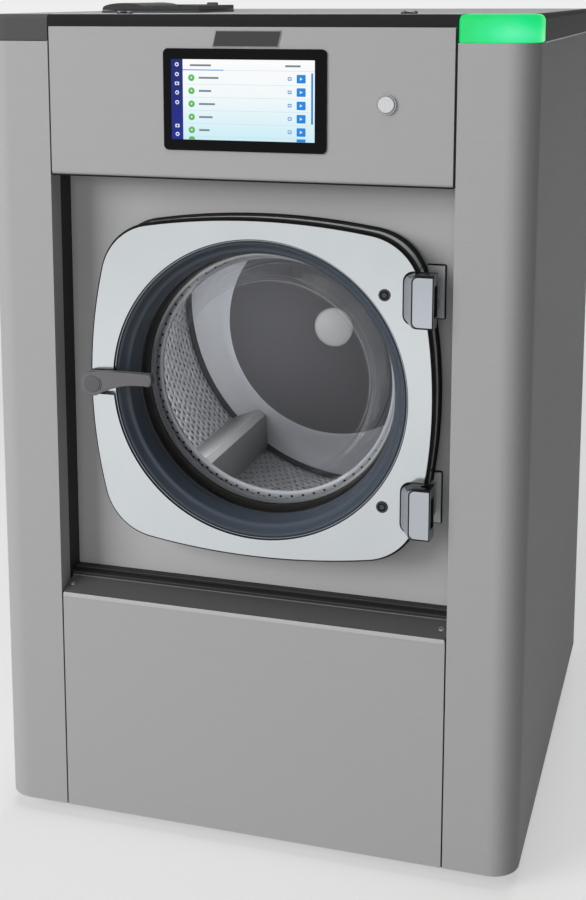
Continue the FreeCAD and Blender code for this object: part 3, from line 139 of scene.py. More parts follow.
def surface(name, colour, rough, metallic=0, gloss_spread=0.06, tint=0.05, scale=60,
            stretch=(1, 1, 1), relief=0.12, height=0.0004, **sockets):
    """A material whose colour, gloss and relief vary with a fine grain."""
    mat, tree, shader = blank(name)
    noise = grain(tree, scale, stretch)
    colours = ramp(tree, noise, (0.3, shaded(colour, 1 - tint)), (0.7, shaded(colour, 1 + tint)))
    gloss = spread_over(tree, noise, max(0.02, rough - gloss_spread), rough + gloss_spread)
    normal = add(tree, "Bump", "Normal", Strength=relief, Distance=height, Height=noise)
    feed(tree, shader, Base_Color=colours, Roughness=gloss, Normal=normal, Metallic=metallic, **sockets)
    return mat


def glass_film(name, tint, rough):
    """Clear glass: see-through head on and mirror-like at a slant."""
    clear_below, full_slant, most_mirror = 0.06, 0.6, 0.2
    mat, tree, shader = blank(name)
    gloss = spread_over(tree, grain(tree, 9), rough * 0.6, rough * 1.6)
    feed(tree, shader, Base_Color=WHITE, Metallic=1, Roughness=gloss)
    clear = add(tree, "BsdfTransparent", "BSDF", Color=tint)
    slant = add(tree, "Fresnel", "Fac", IOR=1.5)
    share = spread_over(tree, slant, 0, most_mirror, clear_below, full_slant)
    both = add(tree, "MixShader", "Shader", share, clear, shader.outputs["BSDF"])
    feed(tree, tree.nodes["Material Output"], Surface=both)
    return mat


def run_along(mat, axis, socket, *stops):
    """Lets a colour of a material run along an axis of the piece's own box."""
    tree = mat.node_tree
    along = add(tree, "SeparateXYZ", axis, add(tree, "TexCoord", "Generated"))
    feed(tree, tree.nodes["Principled BSDF"], **{socket: ramp(tree, along, *stops)})
    return mat


def glow(name, strength, *stops):
    """A lit surface whose colour runs up its own box."""
    mat = surface(name, (0.02, 0.02, 0.02, 1), 0.25, tint=0.02, Emission_Strength=strength,
                  Specular_IOR_Level=0.06)
    return run_along(mat, "Z", "Emission Color", *stops)


def lamp_glow(name, strength, centre, reach, *stops):
    """A lit surface that is brightest about a point of its own box, with a reach along each axis."""
    mat = surface(name, (0.01, 0.02, 0.015, 1), 0.3, tint=0.02, Emission_Strength=strength)
    tree = mat.node_tree
    place = add(tree, "Mapping", "Vector", add(tree, "TexCoord", "Generated"),
                Location=[-c / r for c, r in zip(centre, reach)], Scale=[1 / r for r in reach])
    ball = tree.nodes.new("ShaderNodeTexGradient")
    ball.gradient_type = "SPHERICAL"
    feed(tree, ball, place)
    feed(tree, tree.nodes["Principled BSDF"], Emission_Color=ramp(tree, ball.outputs["Fac"], *stops))
    return mat


SATIN = dict(stretch=(5, 5, 420), scale=1, relief=0.03, height=0.0002, tint=0.012, Specular_IOR_Level=0.12)
STEEL = dict(scale=5, relief=0.004, height=0.0001, tint=0.02, gloss_spread=0.03)
CAST = dict(scale=220, relief=0.3, height=0.0006, tint=0.08)
MOULDED = dict(scale=420, relief=0.1, height=0.0002, tint=0.05)
CHROME = dict(scale=18, relief=0.01, tint=0.015, gloss_spread=0.02)
# A darker copy of the chrome, for painted shade on the hinge bodies.
PAINTED_SHADE_CHROME = dict(CHROME, tint=0.02)
DOOR_CHROME = dict(scale=14, relief=0.01, tint=0.015, gloss_spread=0.03)
SCREEN = dict(relief=0.01, gloss_spread=0.02)

# Each finish: kind, screen colour in three numbers, roughness, then share of metal and shine where needed.
FINISHES = {
    "cabinet_grey": (SATIN, 168, 168, 168, 0.55),
    "cabinet_rear": (SATIN, 160, 161, 162, 0.55),
    # A lighter copy of the cabinet grey: painted highlight on the lower panel's folded edge.
    "cabinet_light": (SATIN, 186, 186, 186, 0.5),
    "panel_grey": (SATIN, 177, 177, 177, 0.55),
    "sill_grey": (SATIN, 84, 84, 85, 0.45),
    "frame_paint": (CAST, 52, 54, 56, 0.5, 0.1),
    "handle_grey": (CAST, 108, 108, 110, 0.45, 0.2, 0.3),
    "iron_grey": (CAST, 64, 66, 68, 0.55, 0.3),
    "motor_grey": (CAST, 50, 55, 62, 0.5, 0.15),
    "inverter_metal": (CAST, 118, 120, 123, 0.45, 0.6),
    "trim_dark": (MOULDED, 38, 38, 39, 0.5, 0, 0.1),
    "trim_cap": (MOULDED, 82, 82, 83, 0.5, 0, 0.15),
    "trim_black": (MOULDED, 18, 18, 19, 0.55, 0, 0.2),
    "recess_dark": (MOULDED, 46, 46, 47, 0.5, 0, 0.2),
    # A dim grey for painted highlights on the sill's steps.
    "line_dim": (MOULDED, 66, 66, 67, 0.5),
    "housing_black": (MOULDED, 30, 30, 31, 0.5),
    "button_grey": (MOULDED, 206, 208, 209, 0.3),
    "hopper_grey": (MOULDED, 70, 71, 72, 0.45, 0, 0.25),
    "lid_grey": (MOULDED, 58, 59, 60, 0.4, 0, 0.25),
    "ring_blue_grey": (MOULDED, 61, 69, 79, 0.36, 0, 0.35),
    "plug_dark": (MOULDED, 52, 53, 55, 0.45),
    "handle_cap": (MOULDED, 92, 92, 94, 0.4, 0.2),
    "badge_grey": (MOULDED, 60, 60, 61, 0.35, 0.3),
    "boot_rubber": (MOULDED, 32, 31, 29, 0.6),
    "belt_rubber": (MOULDED, 28, 28, 28, 0.7),
    "hose_rubber": (MOULDED, 34, 34, 35, 0.6),
    "drain_plastic": (MOULDED, 40, 40, 42, 0.5),
    "screen_black": (SCREEN, 10, 10, 12, 0.08, 0, 0.1),
    "door_bright": (DOOR_CHROME, 212, 217, 220, 0.14, 0.95),
    "hinge_chrome": (CHROME, 190, 196, 202, 0.1, 1),
    # Darker copies of the hinge chrome: painted shade on the bodies, and a painted dark reflection on their
    # top and bottom faces.
    "hinge_shade": (PAINTED_SHADE_CHROME, 150, 155, 160, 0.16, 1),
    "hinge_chrome_painted_dark_reflection": (PAINTED_SHADE_CHROME, 58, 60, 63, 0.2, 0.9),
    "bracket_grey": (STEEL, 200, 202, 205, 0.4, 0.2),
    # A light grey for the painted highlight on the sill's rear edge.
    "sill_edge": (STEEL, 118, 118, 119, 0.45, 0.2),
    # A light grey for painted highlights on the top's front edge and under the top trims.
    "edge_bright": (STEEL, 214, 214, 215, 0.35, 0.3),
    "badge_rim": (STEEL, 150, 150, 151, 0.3, 0.6),
    "bezel_steel": (STEEL, 170, 171, 172, 0.25, 0.9),
    "clamp_metal": (STEEL, 150, 150, 152, 0.35, 0.8),
    "stainless": (STEEL, 176, 177, 179, 0.34, 0.85),
    "stainless_bright": (STEEL, 150, 151, 154, 0.42, 0.3),
    "tub_steel": (STEEL, 58, 59, 61, 0.5, 0.3),
    # A lighter copy of the drum's steel: painted highlight on the drum's lip.
    "lip_bright": (STEEL, 206, 208, 213, 0.45, 0.2),
    # Cone and disc of the drum's back: lighter and darker copies of the drum's steel, as painted light and
    # shade.
    "cone_graded": (STEEL, 200, 202, 206, 0.45, 0.2),
    "disc_grey": (STEEL, 52, 52, 54, 0.6, 0, 0.1),
    "cap_bright": (STEEL, 110, 110, 110, 0.45, 0.1),
    "spring_steel": (STEEL, 92, 94, 96, 0.35, 0.8),
    "zinc": (STEEL, 178, 180, 184, 0.3, 0.9),
    "brass": (STEEL, 184, 150, 84, 0.32, 0.9),
}

# Each lit colour of the screen: at its foot and at its top.
SCREEN_COLOURS = {
    "bar_blue": ((0, 30, 140), (0, 22, 112)),
    "mark_white": ((226, 238, 250), (240, 246, 252)),
    "mark_green": ((84, 184, 80), (100, 200, 92)),
    "mark_blue": ((0, 132, 224), (4, 142, 234)),
    "mark_grey": ((120, 132, 142), (128, 140, 150)),
    "line_grey": ((206, 222, 230), (212, 226, 232)),
}

look = {}
for finish, (kind, red, green, blue, roughness, *more) in FINISHES.items():
    settings = {**kind, **dict(zip(("metallic", "Specular_IOR_Level"), more))}
    look[finish] = surface(finish, linear(red, green, blue), roughness, **settings)
for finish, (foot, head) in SCREEN_COLOURS.items():
    look[finish] = glow(finish, 0.9, (0, linear(*foot)), (1, linear(*head)))
look["paper_white"] = glow("paper_white", 0.95, (0, linear(206, 240, 250)), (0.55, linear(244, 252, 254)),
                           (1, linear(255, 255, 255)))
lens_stops = ((0, linear(0, 222, 112)), (0.45, linear(20, 234, 138)), (1, linear(92, 248, 176)))
look["lens_green"] = lamp_glow("lens_green", 0.95, (0.68, 0.1, 0.34), (0.6, 0.9, 0.75), *lens_stops)
look["door_glazing"] = glass_film("door_glazing", (0.95, 0.955, 0.96, 1), 0.03)
# Painted light and shade on the cone: dark at the front of its own box, by the disc, and light at the rear,
# by the rim.
run_along(look["cone_graded"], "Y", "Base Color", (0, linear(140, 142, 146)), (1, linear(238, 240, 244)))


def skin(rings, closed=False, ends=True):
    """Points and faces of a skin over rings of points, which comes round on itself or has flat ends."""
    count = len(rings[0])
    verts = [point for ring in rings for point in ring]
    faces = []
    for index in range(len(rings) if closed else len(rings) - 1):
        here = index * count
        after = (index + 1) % len(rings) * count
        for step in range(count):
            other = (step + 1) % count
            faces.append((here + step, here + other, after + other, after + step))
    if ends and not closed:
        faces.append(tuple(reversed(range(count))))
        faces.append(tuple(range(len(verts) - count, len(verts))))
    return verts, faces


def join(skins):
    """Points and faces of several skins as one."""
    verts = []
    faces = []
    for points, sides in skins:
        first = len(verts)
        verts += points
        faces += [tuple(first + index for index in face) for face in sides]
    return verts, faces


def show(name, verts, faces, body, material, slot=None, smooth=40):
    """A new piece from points in mm that rides on a body. The slot argument is not used."""
    mesh = bpy.data.meshes.new(name)
    mesh.from_pydata([[c * MM for c in v] for v in verts], [], faces)
    mesh.update()
    if smooth:
        for face in mesh.polygons:
            face.use_smooth = True
        mesh.set_sharp_from_angle(angle=math.radians(smooth))
    obj = bpy.data.objects.new(name, mesh)
    scene.collection.objects.link(obj)
    mesh.materials.append(look[material])
    if body:
        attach(obj, body)
    return obj


def lathe(name, profile, body, material, slot=None, centre=DOOR_CENTRE, axis=TO_BACK, steps=144, smooth=40,
          twist=None):
    """A closed outline turned about an axis, with poles welded."""
    turn = Vector(UP).rotation_difference(Vector(axis)).to_matrix()
    rings = []
    for step in range(steps):
        angle = TAU * step / steps
        ring = []
        for index, (along, radius) in enumerate(profile):
            if twist:
                radius = twist(index, angle, radius)
            point = Vector((radius * math.cos(angle), radius * math.sin(angle), along))
            ring.append(tuple(turn @ point + Vector(centre)))
        rings.append(ring)
    obj = show(name, *skin(rings, closed=True), body, material, slot, smooth)
    weld = obj.modifiers.new("weld", "WELD")
    weld.merge_threshold = 1e-6
    return obj


def eased(points, rounds=2):
    """An open line with its corners cut, ends kept."""
    for _ in range(rounds):
        line = [points[0]]
        for a, b in zip(points, points[1:]):
            line.append((a[0] * 0.75 + b[0] * 0.25, a[1] * 0.75 + b[1] * 0.25))
            line.append((a[0] * 0.25 + b[0] * 0.75, a[1] * 0.25 + b[1] * 0.75))
        line.append(points[-1])
        points = line
    return points


def arc(x, z, radius, start, end, steps):
    """Points along a part of a circle, between two angles in degrees."""
    angles = [math.radians(start + (end - start) * step / steps) for step in range(steps + 1)]
    return [(x + radius * math.cos(angle), z + radius * math.sin(angle)) for angle in angles]


def disc(x, z, radius, steps=28):
    return arc(x, z, radius, 0, 360, steps)[:-1]


def box(left, right, low, high):
    return [(left, low), (right, low), (right, high), (left, high)]


def rounded_box(left, right, low, high, radius, steps=5):
    """The outline of a rectangle with round corners."""
    points = []
    for number, (x, z) in enumerate(box(left + radius, right - radius, low + radius, high - radius)):
        points += arc(x, z, radius, 180 + 90 * number, 270 + 90 * number, steps)
    return points


def plate_outline(left, right, low, high, radius, steps=6):
    """A rectangle with round corners on its left side only."""
    upper = arc(left + radius, high - radius, radius, 90, 180, steps)
    lower = arc(left + radius, low + radius, radius, 180, 270, steps)
    return [(right, high)] + upper + lower + [(right, low)]


def corner_block(inner, outer, front, back, radius, nose, steps=8):
    """The outline of a front corner of the cabinet, round at the corner and a little at its inner edge."""
    points = arc(inner + nose, front + nose, nose, 180, 270, steps)
    points += arc(outer - radius, front + radius, radius, 270, 360, steps)
    return points + [(outer, back), (inner, back)]


def soften(obj, width, segments=2):
    """Rounds the sharp edges of a piece."""
    bevel = obj.modifiers.new("bevel", "BEVEL")
    bevel.width = width * MM
    bevel.segments = segments
    bevel.limit_method = "ANGLE"
    bevel.angle_limit = math.radians(38)
    bevel.use_clamp_overlap = False
    bevel.harden_normals = True


def slab(name, outline, near, far, body, material, slot=None, bevel=0, smooth=40):
    """A flat shape in X and Z given a thickness along Y."""
    rings = [[(x, y, z) for x, z in outline] for y in (far, near)]
    obj = show(name, *skin(rings), body, material, slot, smooth)
    if bevel:
        soften(obj, bevel)
    return obj


def plank(name, xs, ys, zs, body, material, slot=None, bevel=0):
    """A plain bar between pairs of X, Y and Z."""
    return slab(name, box(*xs, *zs), *ys, body, material, slot, bevel)


def dark_joint(name, xs, ys, zs):
    return plank(name, xs, ys, zs, "cabinet", "trim_black")


def inset_loop(points, inset):
    """A rounded outline moved inwards."""
    moved = []
    count = len(points)
    for index, (x, y) in enumerate(points):
        before = points[index - 1]
        after = points[(index + 1) % count]
        a = Vector((x - before[0], y - before[1])).normalized()
        b = Vector((after[0] - x, after[1] - y)).normalized()
        inward = Vector((-a[1] - b[1], a[0] + b[0])).normalized()
        share = max(0.3, inward.dot(Vector((-a[1], a[0]))))
        moved.append((x + inward[0] * inset / share, y + inward[1] * inset / share))
    return moved


def tower(name, points, rows, material):
    """A cabinet outline in X and Y stacked up in Z, each row a height and how far it is inset."""
    rings = [[(x, y, z) for x, y in inset_loop(points, inset)] for z, inset in rows]
    return show(name, *skin(rings), "cabinet", material, smooth=35)


def sweep(name, path, radius, material, sides):
    """A round bar along a smooth path, closed at both ends."""
    rings = []
    normal = Vector((1, 0, 0))
    points = [Vector(p) for p in path]
    for index, point in enumerate(points):
        before = points[max(0, index - 1)]
        after = points[min(len(points) - 1, index + 1)]
        along = (after - before).normalized()
        normal = (normal - along * normal.dot(along)).normalized()
        other = along.cross(normal)
        rings.append([tuple(point + normal * u + other * v) for u, v in disc(0, 0, radius, sides)])
    return show(name, *skin(rings), None, material, smooth=50)


def sharpener():
    """A node tree that shades a mesh smooth but keeps edges over an angle sharp."""
    tree = bpy.data.node_groups.new("keep_edges", "GeometryNodeTree")
    for way in ("INPUT", "OUTPUT"):
        tree.interface.new_socket("Geometry", in_out=way, socket_type="NodeSocketGeometry")
    start = tree.nodes.new("NodeGroupInput")
    end = tree.nodes.new("NodeGroupOutput")
    angle = tree.nodes.new("GeometryNodeInputMeshEdgeAngle")
    above = tree.nodes.new("FunctionNodeCompare")
    above.operation = "GREATER_THAN"
    soft = tree.nodes.new("GeometryNodeSetShadeSmooth")
    hard = tree.nodes.new("GeometryNodeSetShadeSmooth")
    hard.domain = "EDGE"
    feed(tree, soft, Geometry=start.outputs[0])
    feed(tree, above, A=angle.outputs["Unsigned Angle"], B=math.radians(28))
    feed(tree, hard, Geometry=soft.outputs["Geometry"], Selection=above.outputs["Result"], Shade_Smooth=False)
    feed(tree, end, hard.outputs["Geometry"])
    return tree


EDGES = {"top_trim_front": 1.5, "door_handle": 1.8, "display_glass": 0.5, "hopper_box": 0.6, "sill": 0.4,
         "recess_trim": 0.5}
ROUND_STEPS = {"door_handle": 4}
LOOKS = {"recess_trim": "recess_dark", "door_panel": "panel_grey", "hinge_brackets": "bracket_grey",
         "tub_shell": "tub_steel"}


def dress_nodes():
    """Every solid takes the material of its slot, or its own one, and soft edges."""
    keep_edges = sharpener()
    for row in frame["record"]["subparts"]:
        name = row["node"]
        obj = frame["nodes"][name]
        obj.data.materials.clear()
        obj.data.materials.append(look[LOOKS.get(name, row["material_slot"])])
        for face in obj.data.polygons:
            face.use_smooth = True
            face.material_index = 0
        weld = obj.modifiers.new("weld", "WELD")
        weld.merge_threshold = 2e-6
        if name in EDGES:
            soften(obj, EDGES[name], ROUND_STEPS.get(name, 2))
        edges = obj.modifiers.new("edges", "NODES")
        edges.node_group = keep_edges
        flatten = obj.modifiers.new("flatten", "WEIGHTED_NORMAL")
        flatten.keep_sharp = True


def make_ring():
    """Blue-grey ring that holds the door glass, with its groove, shelf and slope."""
    profile = [(18.5, 243.7), (18.5, 242.6), (14.8, 242.4), (14.8, 240.8), (17, 240.2), (17, 239.2),
               (14.6, 238.6), (15.2, 236.6)]
    profile += eased([(16, 235.4), (24.5, 229), (26, 226.6), (27, 222.4), (31, 220.6), (47, 215.6)], 1)
    profile += [(49, 215.1), (59.9, 215.1), (59.9, 243.7)]
    obj = lathe("glass_ring", profile, "door", "ring_blue_grey")
    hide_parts("door_ring")
    rim = [(14.6, 242.3), (13.7, 242), (13.7, 241.3), (14.6, 240.9), (15.2, 240.9), (15.2, 242.3)]
    lathe("ring_rim", rim, "door", "hinge_chrome")


def make_glass():
    """Glass bowl with a rolled shoulder and a shallow crown."""
    inner = eased([(60.1, 234.5), (60.1, 214), (65, 205), (97, 169.5), (109, 161.5), (115.6, 153.5),
                   (117.6, 138), (119, 78), (120, 0)], 3)
    outer = eased([(66, 234.5), (66, 217.5), (70, 209), (102, 174), (114.5, 166), (121.4, 155.5),
                   (123.6, 139), (125, 78), (126, 0)], 3)
    obj = lathe("glass_bowl", inner + outer[::-1], "door", "door_glazing")
    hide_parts("door_glass")


def make_boot():
    """Rubber bellows between the door panel and the tub's collar."""
    outside = [(68.4, 230.6), (74.8, 230.6), (74.8, 222), (77.2, 222), (77.2, 230.6)]
    outside += eased([(79, 230.6), (79.4, 225), (82, 227), (84.4, 230.6), (87, 229.5), (88.8, 221),
                      (90.6, 215.2), (94, 214.4)], 2)
    outside += eased([(94.4, 215.4), (95.6, 216), (96.8, 215.4)], 1) + [(99.6, 214.3)]
    inside = [(99.6, 209.4)]
    inside += eased([(89.6, 209.4), (87.4, 211), (86.6, 219), (85, 224), (82.4, 221.4), (80, 218.4),
                     (75, 217.4)], 2)
    inside += [(70, 217), (68.4, 218.6)]
    obj = lathe("boot_bellows", outside + inside, None, "boot_rubber")
    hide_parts("door_boot")
    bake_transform(obj)


HOLE_PITCH = 16
HOLE_RADIUS = 3.6
DRUM_START = 130
DRUM_END = 680
DRUM_RADIUS = 364.6
DISC_DEPTH = 500
LIFTER_ANGLES = (231, 351, 111)


def on_drum(out, side, along, turn):
    """A point at a radius, a step sideways and a depth, turned about the door's axis."""
    x = out * math.cos(turn) - side * math.sin(turn)
    z = out * math.sin(turn) + side * math.cos(turn)
    return DOOR_X + x, FRONT + along, DOOR_Z + z


def make_drum_wall():
    """Perforated wall: every hole is an eight-sided gap in its own patch, rows set off by half a patch."""
    around = int(TAU * DRUM_RADIUS / HOLE_PITCH)
    rows = int((DRUM_END - DRUM_START) / HOLE_PITCH)
    deep = (DRUM_END - DRUM_START) / rows
    wide = TAU * DRUM_RADIUS / around
    wall, sides = 1.6, 8
    verts = []
    faces = []
    index_of = {}

    def vertex(turn, along):
        key = (round(turn * 8) % (around * 8), round(along * 1000))
        if key not in index_of:
            index_of[key] = len(verts)
            verts.append(on_drum(DRUM_RADIUS, 0, along, TAU * turn / around))
        return index_of[key]

    patch = ((1, 0), (1, 1), (0, 1), (-1, 1), (-1, 0), (-1, -1), (0, -1), (1, -1))
    for row in range(rows):
        mid = DRUM_START + deep * (row + 0.5)
        for column in range(around):
            centre = column + 0.5 * (row % 2)
            border = [vertex(centre + 0.5 * u, mid + deep * 0.5 * v) for u, v in patch]
            first = len(verts)
            for u, v in disc(0, 0, HOLE_RADIUS, sides):
                verts.append(on_drum(DRUM_RADIUS, 0, mid + v, TAU * (centre + u / wide) / around))
            for step in range(sides):
                after = (step + 1) % sides
                faces.append((border[step], border[after], first + after, first + step))
    shell = show("drum_wall", verts, faces, "drum", "stainless_bright", smooth=50)
    thick = shell.modifiers.new("thick", "SOLIDIFY")
    thick.thickness = wall * MM
    thick.offset = 0
    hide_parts("drum_shell")


def make_drum_back():
    """Dished back with its rim, its flat disc and the cap at its centre. The cone's colour is painted light
    and shade, dark near the disc and light toward the rim; the disc and the rim are painted shade, a darker
    copy of the drum's steel.
    """
    cone = [(DRUM_END, 351.5)]
    cone += eased([(DRUM_END - 1, 350.5), (DISC_DEPTH + 3, 212), (DISC_DEPTH + 0.4, 208.6)], 1)
    cone += [(DISC_DEPTH + 0.4, 203), (DISC_DEPTH + 3, 203), (DISC_DEPTH + 3, 209), (DRUM_END + 3, 352)]
    flange = [(DRUM_END, 362.6), (DRUM_END, 351.4), (DRUM_END + 3, 351.4), (DRUM_END + 3, 362.6)]
    plate = [(0.3, 208.4), (-0.6, 207.2), (-0.6, 38), (0.3, 38)]
    cap = eased([(-0.4, 37.8), (-3.4, 37), (-6, 28), (-7.6, 0)], 2) + [(2.9, 0), (2.9, 37.8)]
    pieces = (("cone", 0, cone, "cone_graded"), ("flange", 0, flange, "disc_grey"),
              ("disc", DISC_DEPTH, plate, "disc_grey"), ("cap", DISC_DEPTH, cap, "cap_bright"))
    for name, depth, outline, material in pieces:
        profile = [(depth + along, radius) for along, radius in outline]
        obj = lathe(f"drum_{name}", profile, "drum", material, "stainless_bright")
        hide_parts("drum_back")


def make_drum_lip():
    """Rolled lip of the drum's mouth in a lighter copy of the drum's steel, a painted highlight, and a ring
    of drain holes, as dark studs let into its slope that paint the shade inside the holes.
    """
    front = eased([(127.6, 364.4), (119, 230), (116.5, 214), (112.6, 203), (112.2, 199), (114.4, 196.2),
                   (117.6, 196.4)], 2)
    under = eased([(119, 199), (120.6, 214), (122, 232), (130, 364.4)], 2)
    obj = lathe("drum_lip", front + under, "drum", "lip_bright", "stainless_bright")
    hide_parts("drum_front")
    holes, size, proud, sunk = 132, 2.3, -0.35, 0.6
    tilt = math.atan2(3.9, 11)
    studs = []
    for number in range(holes):
        turn = TAU * number / holes
        radius = 204.6 + 4.6 * (number % 2)
        depth = 112.6 + (radius - 203) * math.tan(tilt)
        rings = []
        for lift in (sunk, proud):
            rings.append([on_drum(radius + u * math.cos(tilt), v, depth + u * math.sin(tilt) + lift, turn)
                          for u, v in disc(0, 0, size, 8)])
        studs.append(skin(rings))
    # Dark studs in place of open holes: painted shade inside the drain holes.
    show("lip_painted_hole_shade", *join(studs), "drum", "trim_black", "stainless_bright")


def make_lifters():
    """Three tall ribs that carry the laundry up, each run out on the dished back."""
    start, wall, crest, half_foot = 148, 361.6, 247, 48
    section = eased([(wall, half_foot), (wall - 8, half_foot - 3), (crest + 16, 14), (crest, 7)], 2)
    section += [(radius, -side) for radius, side in reversed(section)]
    count = len(section)
    cone_foot, cone_crest = 351, 209
    rise = (DRUM_END - DISC_DEPTH) / (cone_foot - cone_crest)
    shares = ((0, 0.72), (0.012, 0.9), (0.04, 1), (0.5, 1), (1, 1))

    def stop(radius):
        return min(DRUM_END - 4, DRUM_END - (cone_foot - radius) * rise - 3)

    for number, angle in enumerate(LIFTER_ANGLES):
        rings = []
        for length, tallness in shares:
            ring = []
            for radius, side in section:
                out = wall - (wall - radius) * tallness
                along = start + (stop(radius) - start) * length
                ring.append(on_drum(out, side, along, math.radians(angle)))
            rings.append(ring)
        verts, faces = skin(rings, ends=False)
        last = len(verts) - count
        for index in range(count // 2 - 1):
            mirror = count - 1 - index
            faces.append((index, mirror, mirror - 1, index + 1))
            faces.append((last + index, last + index + 1, last + mirror - 1, last + mirror))
        obj = show(f"lifter_{number}", verts, faces, "drum", "cap_bright", "stainless_bright", 35)
        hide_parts("drum_lifters")


def make_springs():
    """Four wound coil springs with closed ends, between the dampers' seats and the tub."""
    wire, mean, low, high, turns, steps = 5.6, 38, 260.4, 449.4, 7.5, 40
    foremost, rearmost = (corner[1] for corner in extent("suspension_springs"))
    coil = mean + wire + 0.4
    places = [(side, y) for side in (-280, 280) for y in (foremost + coil, rearmost - coil)]
    for number, (side, y) in enumerate(places):
        path = []
        for index in range(int(turns * steps) + 1):
            turn = index / steps
            lead = wire * 2 * min(turn, 1)
            tail = wire * 2 * max(0, turn - turns + 1)
            middle = (high - low - wire * 6) * min(max((turn - 1) / (turns - 2), 0), 1)
            angle = TAU * turn
            z = low + wire + lead + middle + tail
            path.append((DOOR_X + side + mean * math.cos(angle), y + mean * math.sin(angle), z))
        obj = sweep(f"coil_spring_{number}", path, wire, "spring_steel", 10)
        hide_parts("suspension_springs")
        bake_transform(obj)


def corrugated(length, inner, outer, pitch, cuff):
    """The outline of a ribbed hose with plain cuffs."""
    groove = outer - 3
    line = [(0, outer), (cuff, outer)]
    along = cuff
    while along + pitch <= length - cuff:
        line += [(along + pitch * 0.2, groove), (along + pitch * 0.5, groove), (along + pitch * 0.75, outer)]
        along += pitch
    line += [(length - cuff, outer), (length, outer)]
    return line + [(length, inner), (0, inner)]


def make_hoses():
    """Ribbed fill hose and drain hose with their band clips."""
    fill_x, fill_y, drain_x, drain_z = -220, -194, 74.5, 239
    fill = lathe("fill_hose", corrugated(58, 21.3, 25, 7, 14), None, "hose_rubber",
                 centre=(fill_x, fill_y, 1169.5), axis=UP, steps=48, smooth=50)
    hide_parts("tub_hoses")
    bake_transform(fill)
    drain = lathe("drain_hose", corrugated(447, 33.3, 38, 12, 30), None, "hose_rubber",
                  centre=(drain_x, -55.5, drain_z), steps=56, smooth=50)
    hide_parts("tub_hoses")
    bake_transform(drain)
    band = [(0, 0.1), (0, 1.5), (9, 1.5), (9, 0.1)]
    clips = (("fill_clip_low", "tub", (fill_x, fill_y, 1172), UP, 25),
             ("fill_clip_high", "cabinet", (fill_x, fill_y, 1216), UP, 25),
             ("drain_clip_front", "tub", (drain_x, -48, drain_z), TO_BACK, 38),
             ("drain_clip_rear", "cabinet", (drain_x, 376, drain_z), TO_BACK, 38))
    for name, body, place, axis, radius in clips:
        profile = [(along, radius + out) for along, out in band]
        lathe(name, profile, body, "zinc", centre=place, axis=axis, steps=48, smooth=30)


def make_belt():
    """Ribbed belt round the drum pulley and the motor pulley."""
    big_radius, small_x, small_z, small_radius = 170, -95.5, 201, 45
    run = math.hypot(small_x - DOOR_X, small_z - DOOR_Z)
    heading = math.atan2(small_z - DOOR_Z, small_x - DOOR_X)
    lean = math.acos((big_radius - small_radius) / run)
    big_steps, small_steps = 72, 24
    path = []
    for step in range(big_steps + 1):
        path.append((DOOR_X, DOOR_Z, big_radius, heading + lean + (TAU - 2 * lean) * step / big_steps))
    for step in range(small_steps + 1):
        path.append((small_x, small_z, small_radius, heading - lean + 2 * lean * step / small_steps))
    ribs, width, outside, valley, crest = 6, 30, 7.9, 3, 0.15
    section = [(0, outside)]
    for rib in range(ribs):
        section += [(width * rib / ribs, valley), (width * (rib + 0.35) / ribs, crest),
                    (width * (rib + 0.65) / ribs, crest)]
    section += [(width, valley), (width, outside)]
    edge = extent("drive_belt")[0][1]
    rings = []
    for x, z, radius, angle in path:
        ring = []
        for along, out in section:
            reach = radius + out
            ring.append((x + reach * math.cos(angle), edge + along, z + reach * math.sin(angle)))
        rings.append(ring)
    obj = show("ribbed_belt", *skin(rings, closed=True), "tub", "belt_rubber", smooth=30)
    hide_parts("drive_belt")


def hexed(rows, radius):
    """Gives the named rows of a turned outline a six-sided form."""
    def shape(index, angle, plain):
        if index not in rows:
            return plain
        sector = math.radians(60)
        return radius * math.cos(sector / 2) / math.cos((angle % sector) - sector / 2)
    return shape


def make_screws():
    """Domed screws with six-sided sockets, in the sill and on the top."""
    head = eased([(0, 5), (0.9, 5), (2.1, 3.9), (2.5, 2.6)], 2)
    profile = head + [(2.45, 2), (1.1, 1.9), (1.1, 0), (0, 0)]
    socket = hexed((len(head), len(head) + 1), 2.2)
    slope = math.atan2(16, 42)
    tilt = (0, -math.sin(slope), math.cos(slope))
    places = []
    for side, sill_x, x in (("left", -314.5, -206), ("right", 314.5, 247)):
        places.append((f"sill_screw_{side}", (sill_x, FRONT + 21, 419), tilt))
        plank(f"top_clip_{side}", (x - 12, x + 12), (FRONT + 27, FRONT + 37), (1369.8, 1372.8), "cabinet",
              "trim_black", bevel=0.8)
        places.append((f"top_screw_{side}_a", (x - 8, FRONT + 32, 1372.2), UP))
        places.append((f"top_screw_{side}_b", (x + 8, FRONT + 32, 1372.2), UP))
    for name, place, axis in places:
        obj = lathe(name, profile, "cabinet", "zinc", None, place, axis, 24, 35, socket)
        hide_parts("panel_screws")


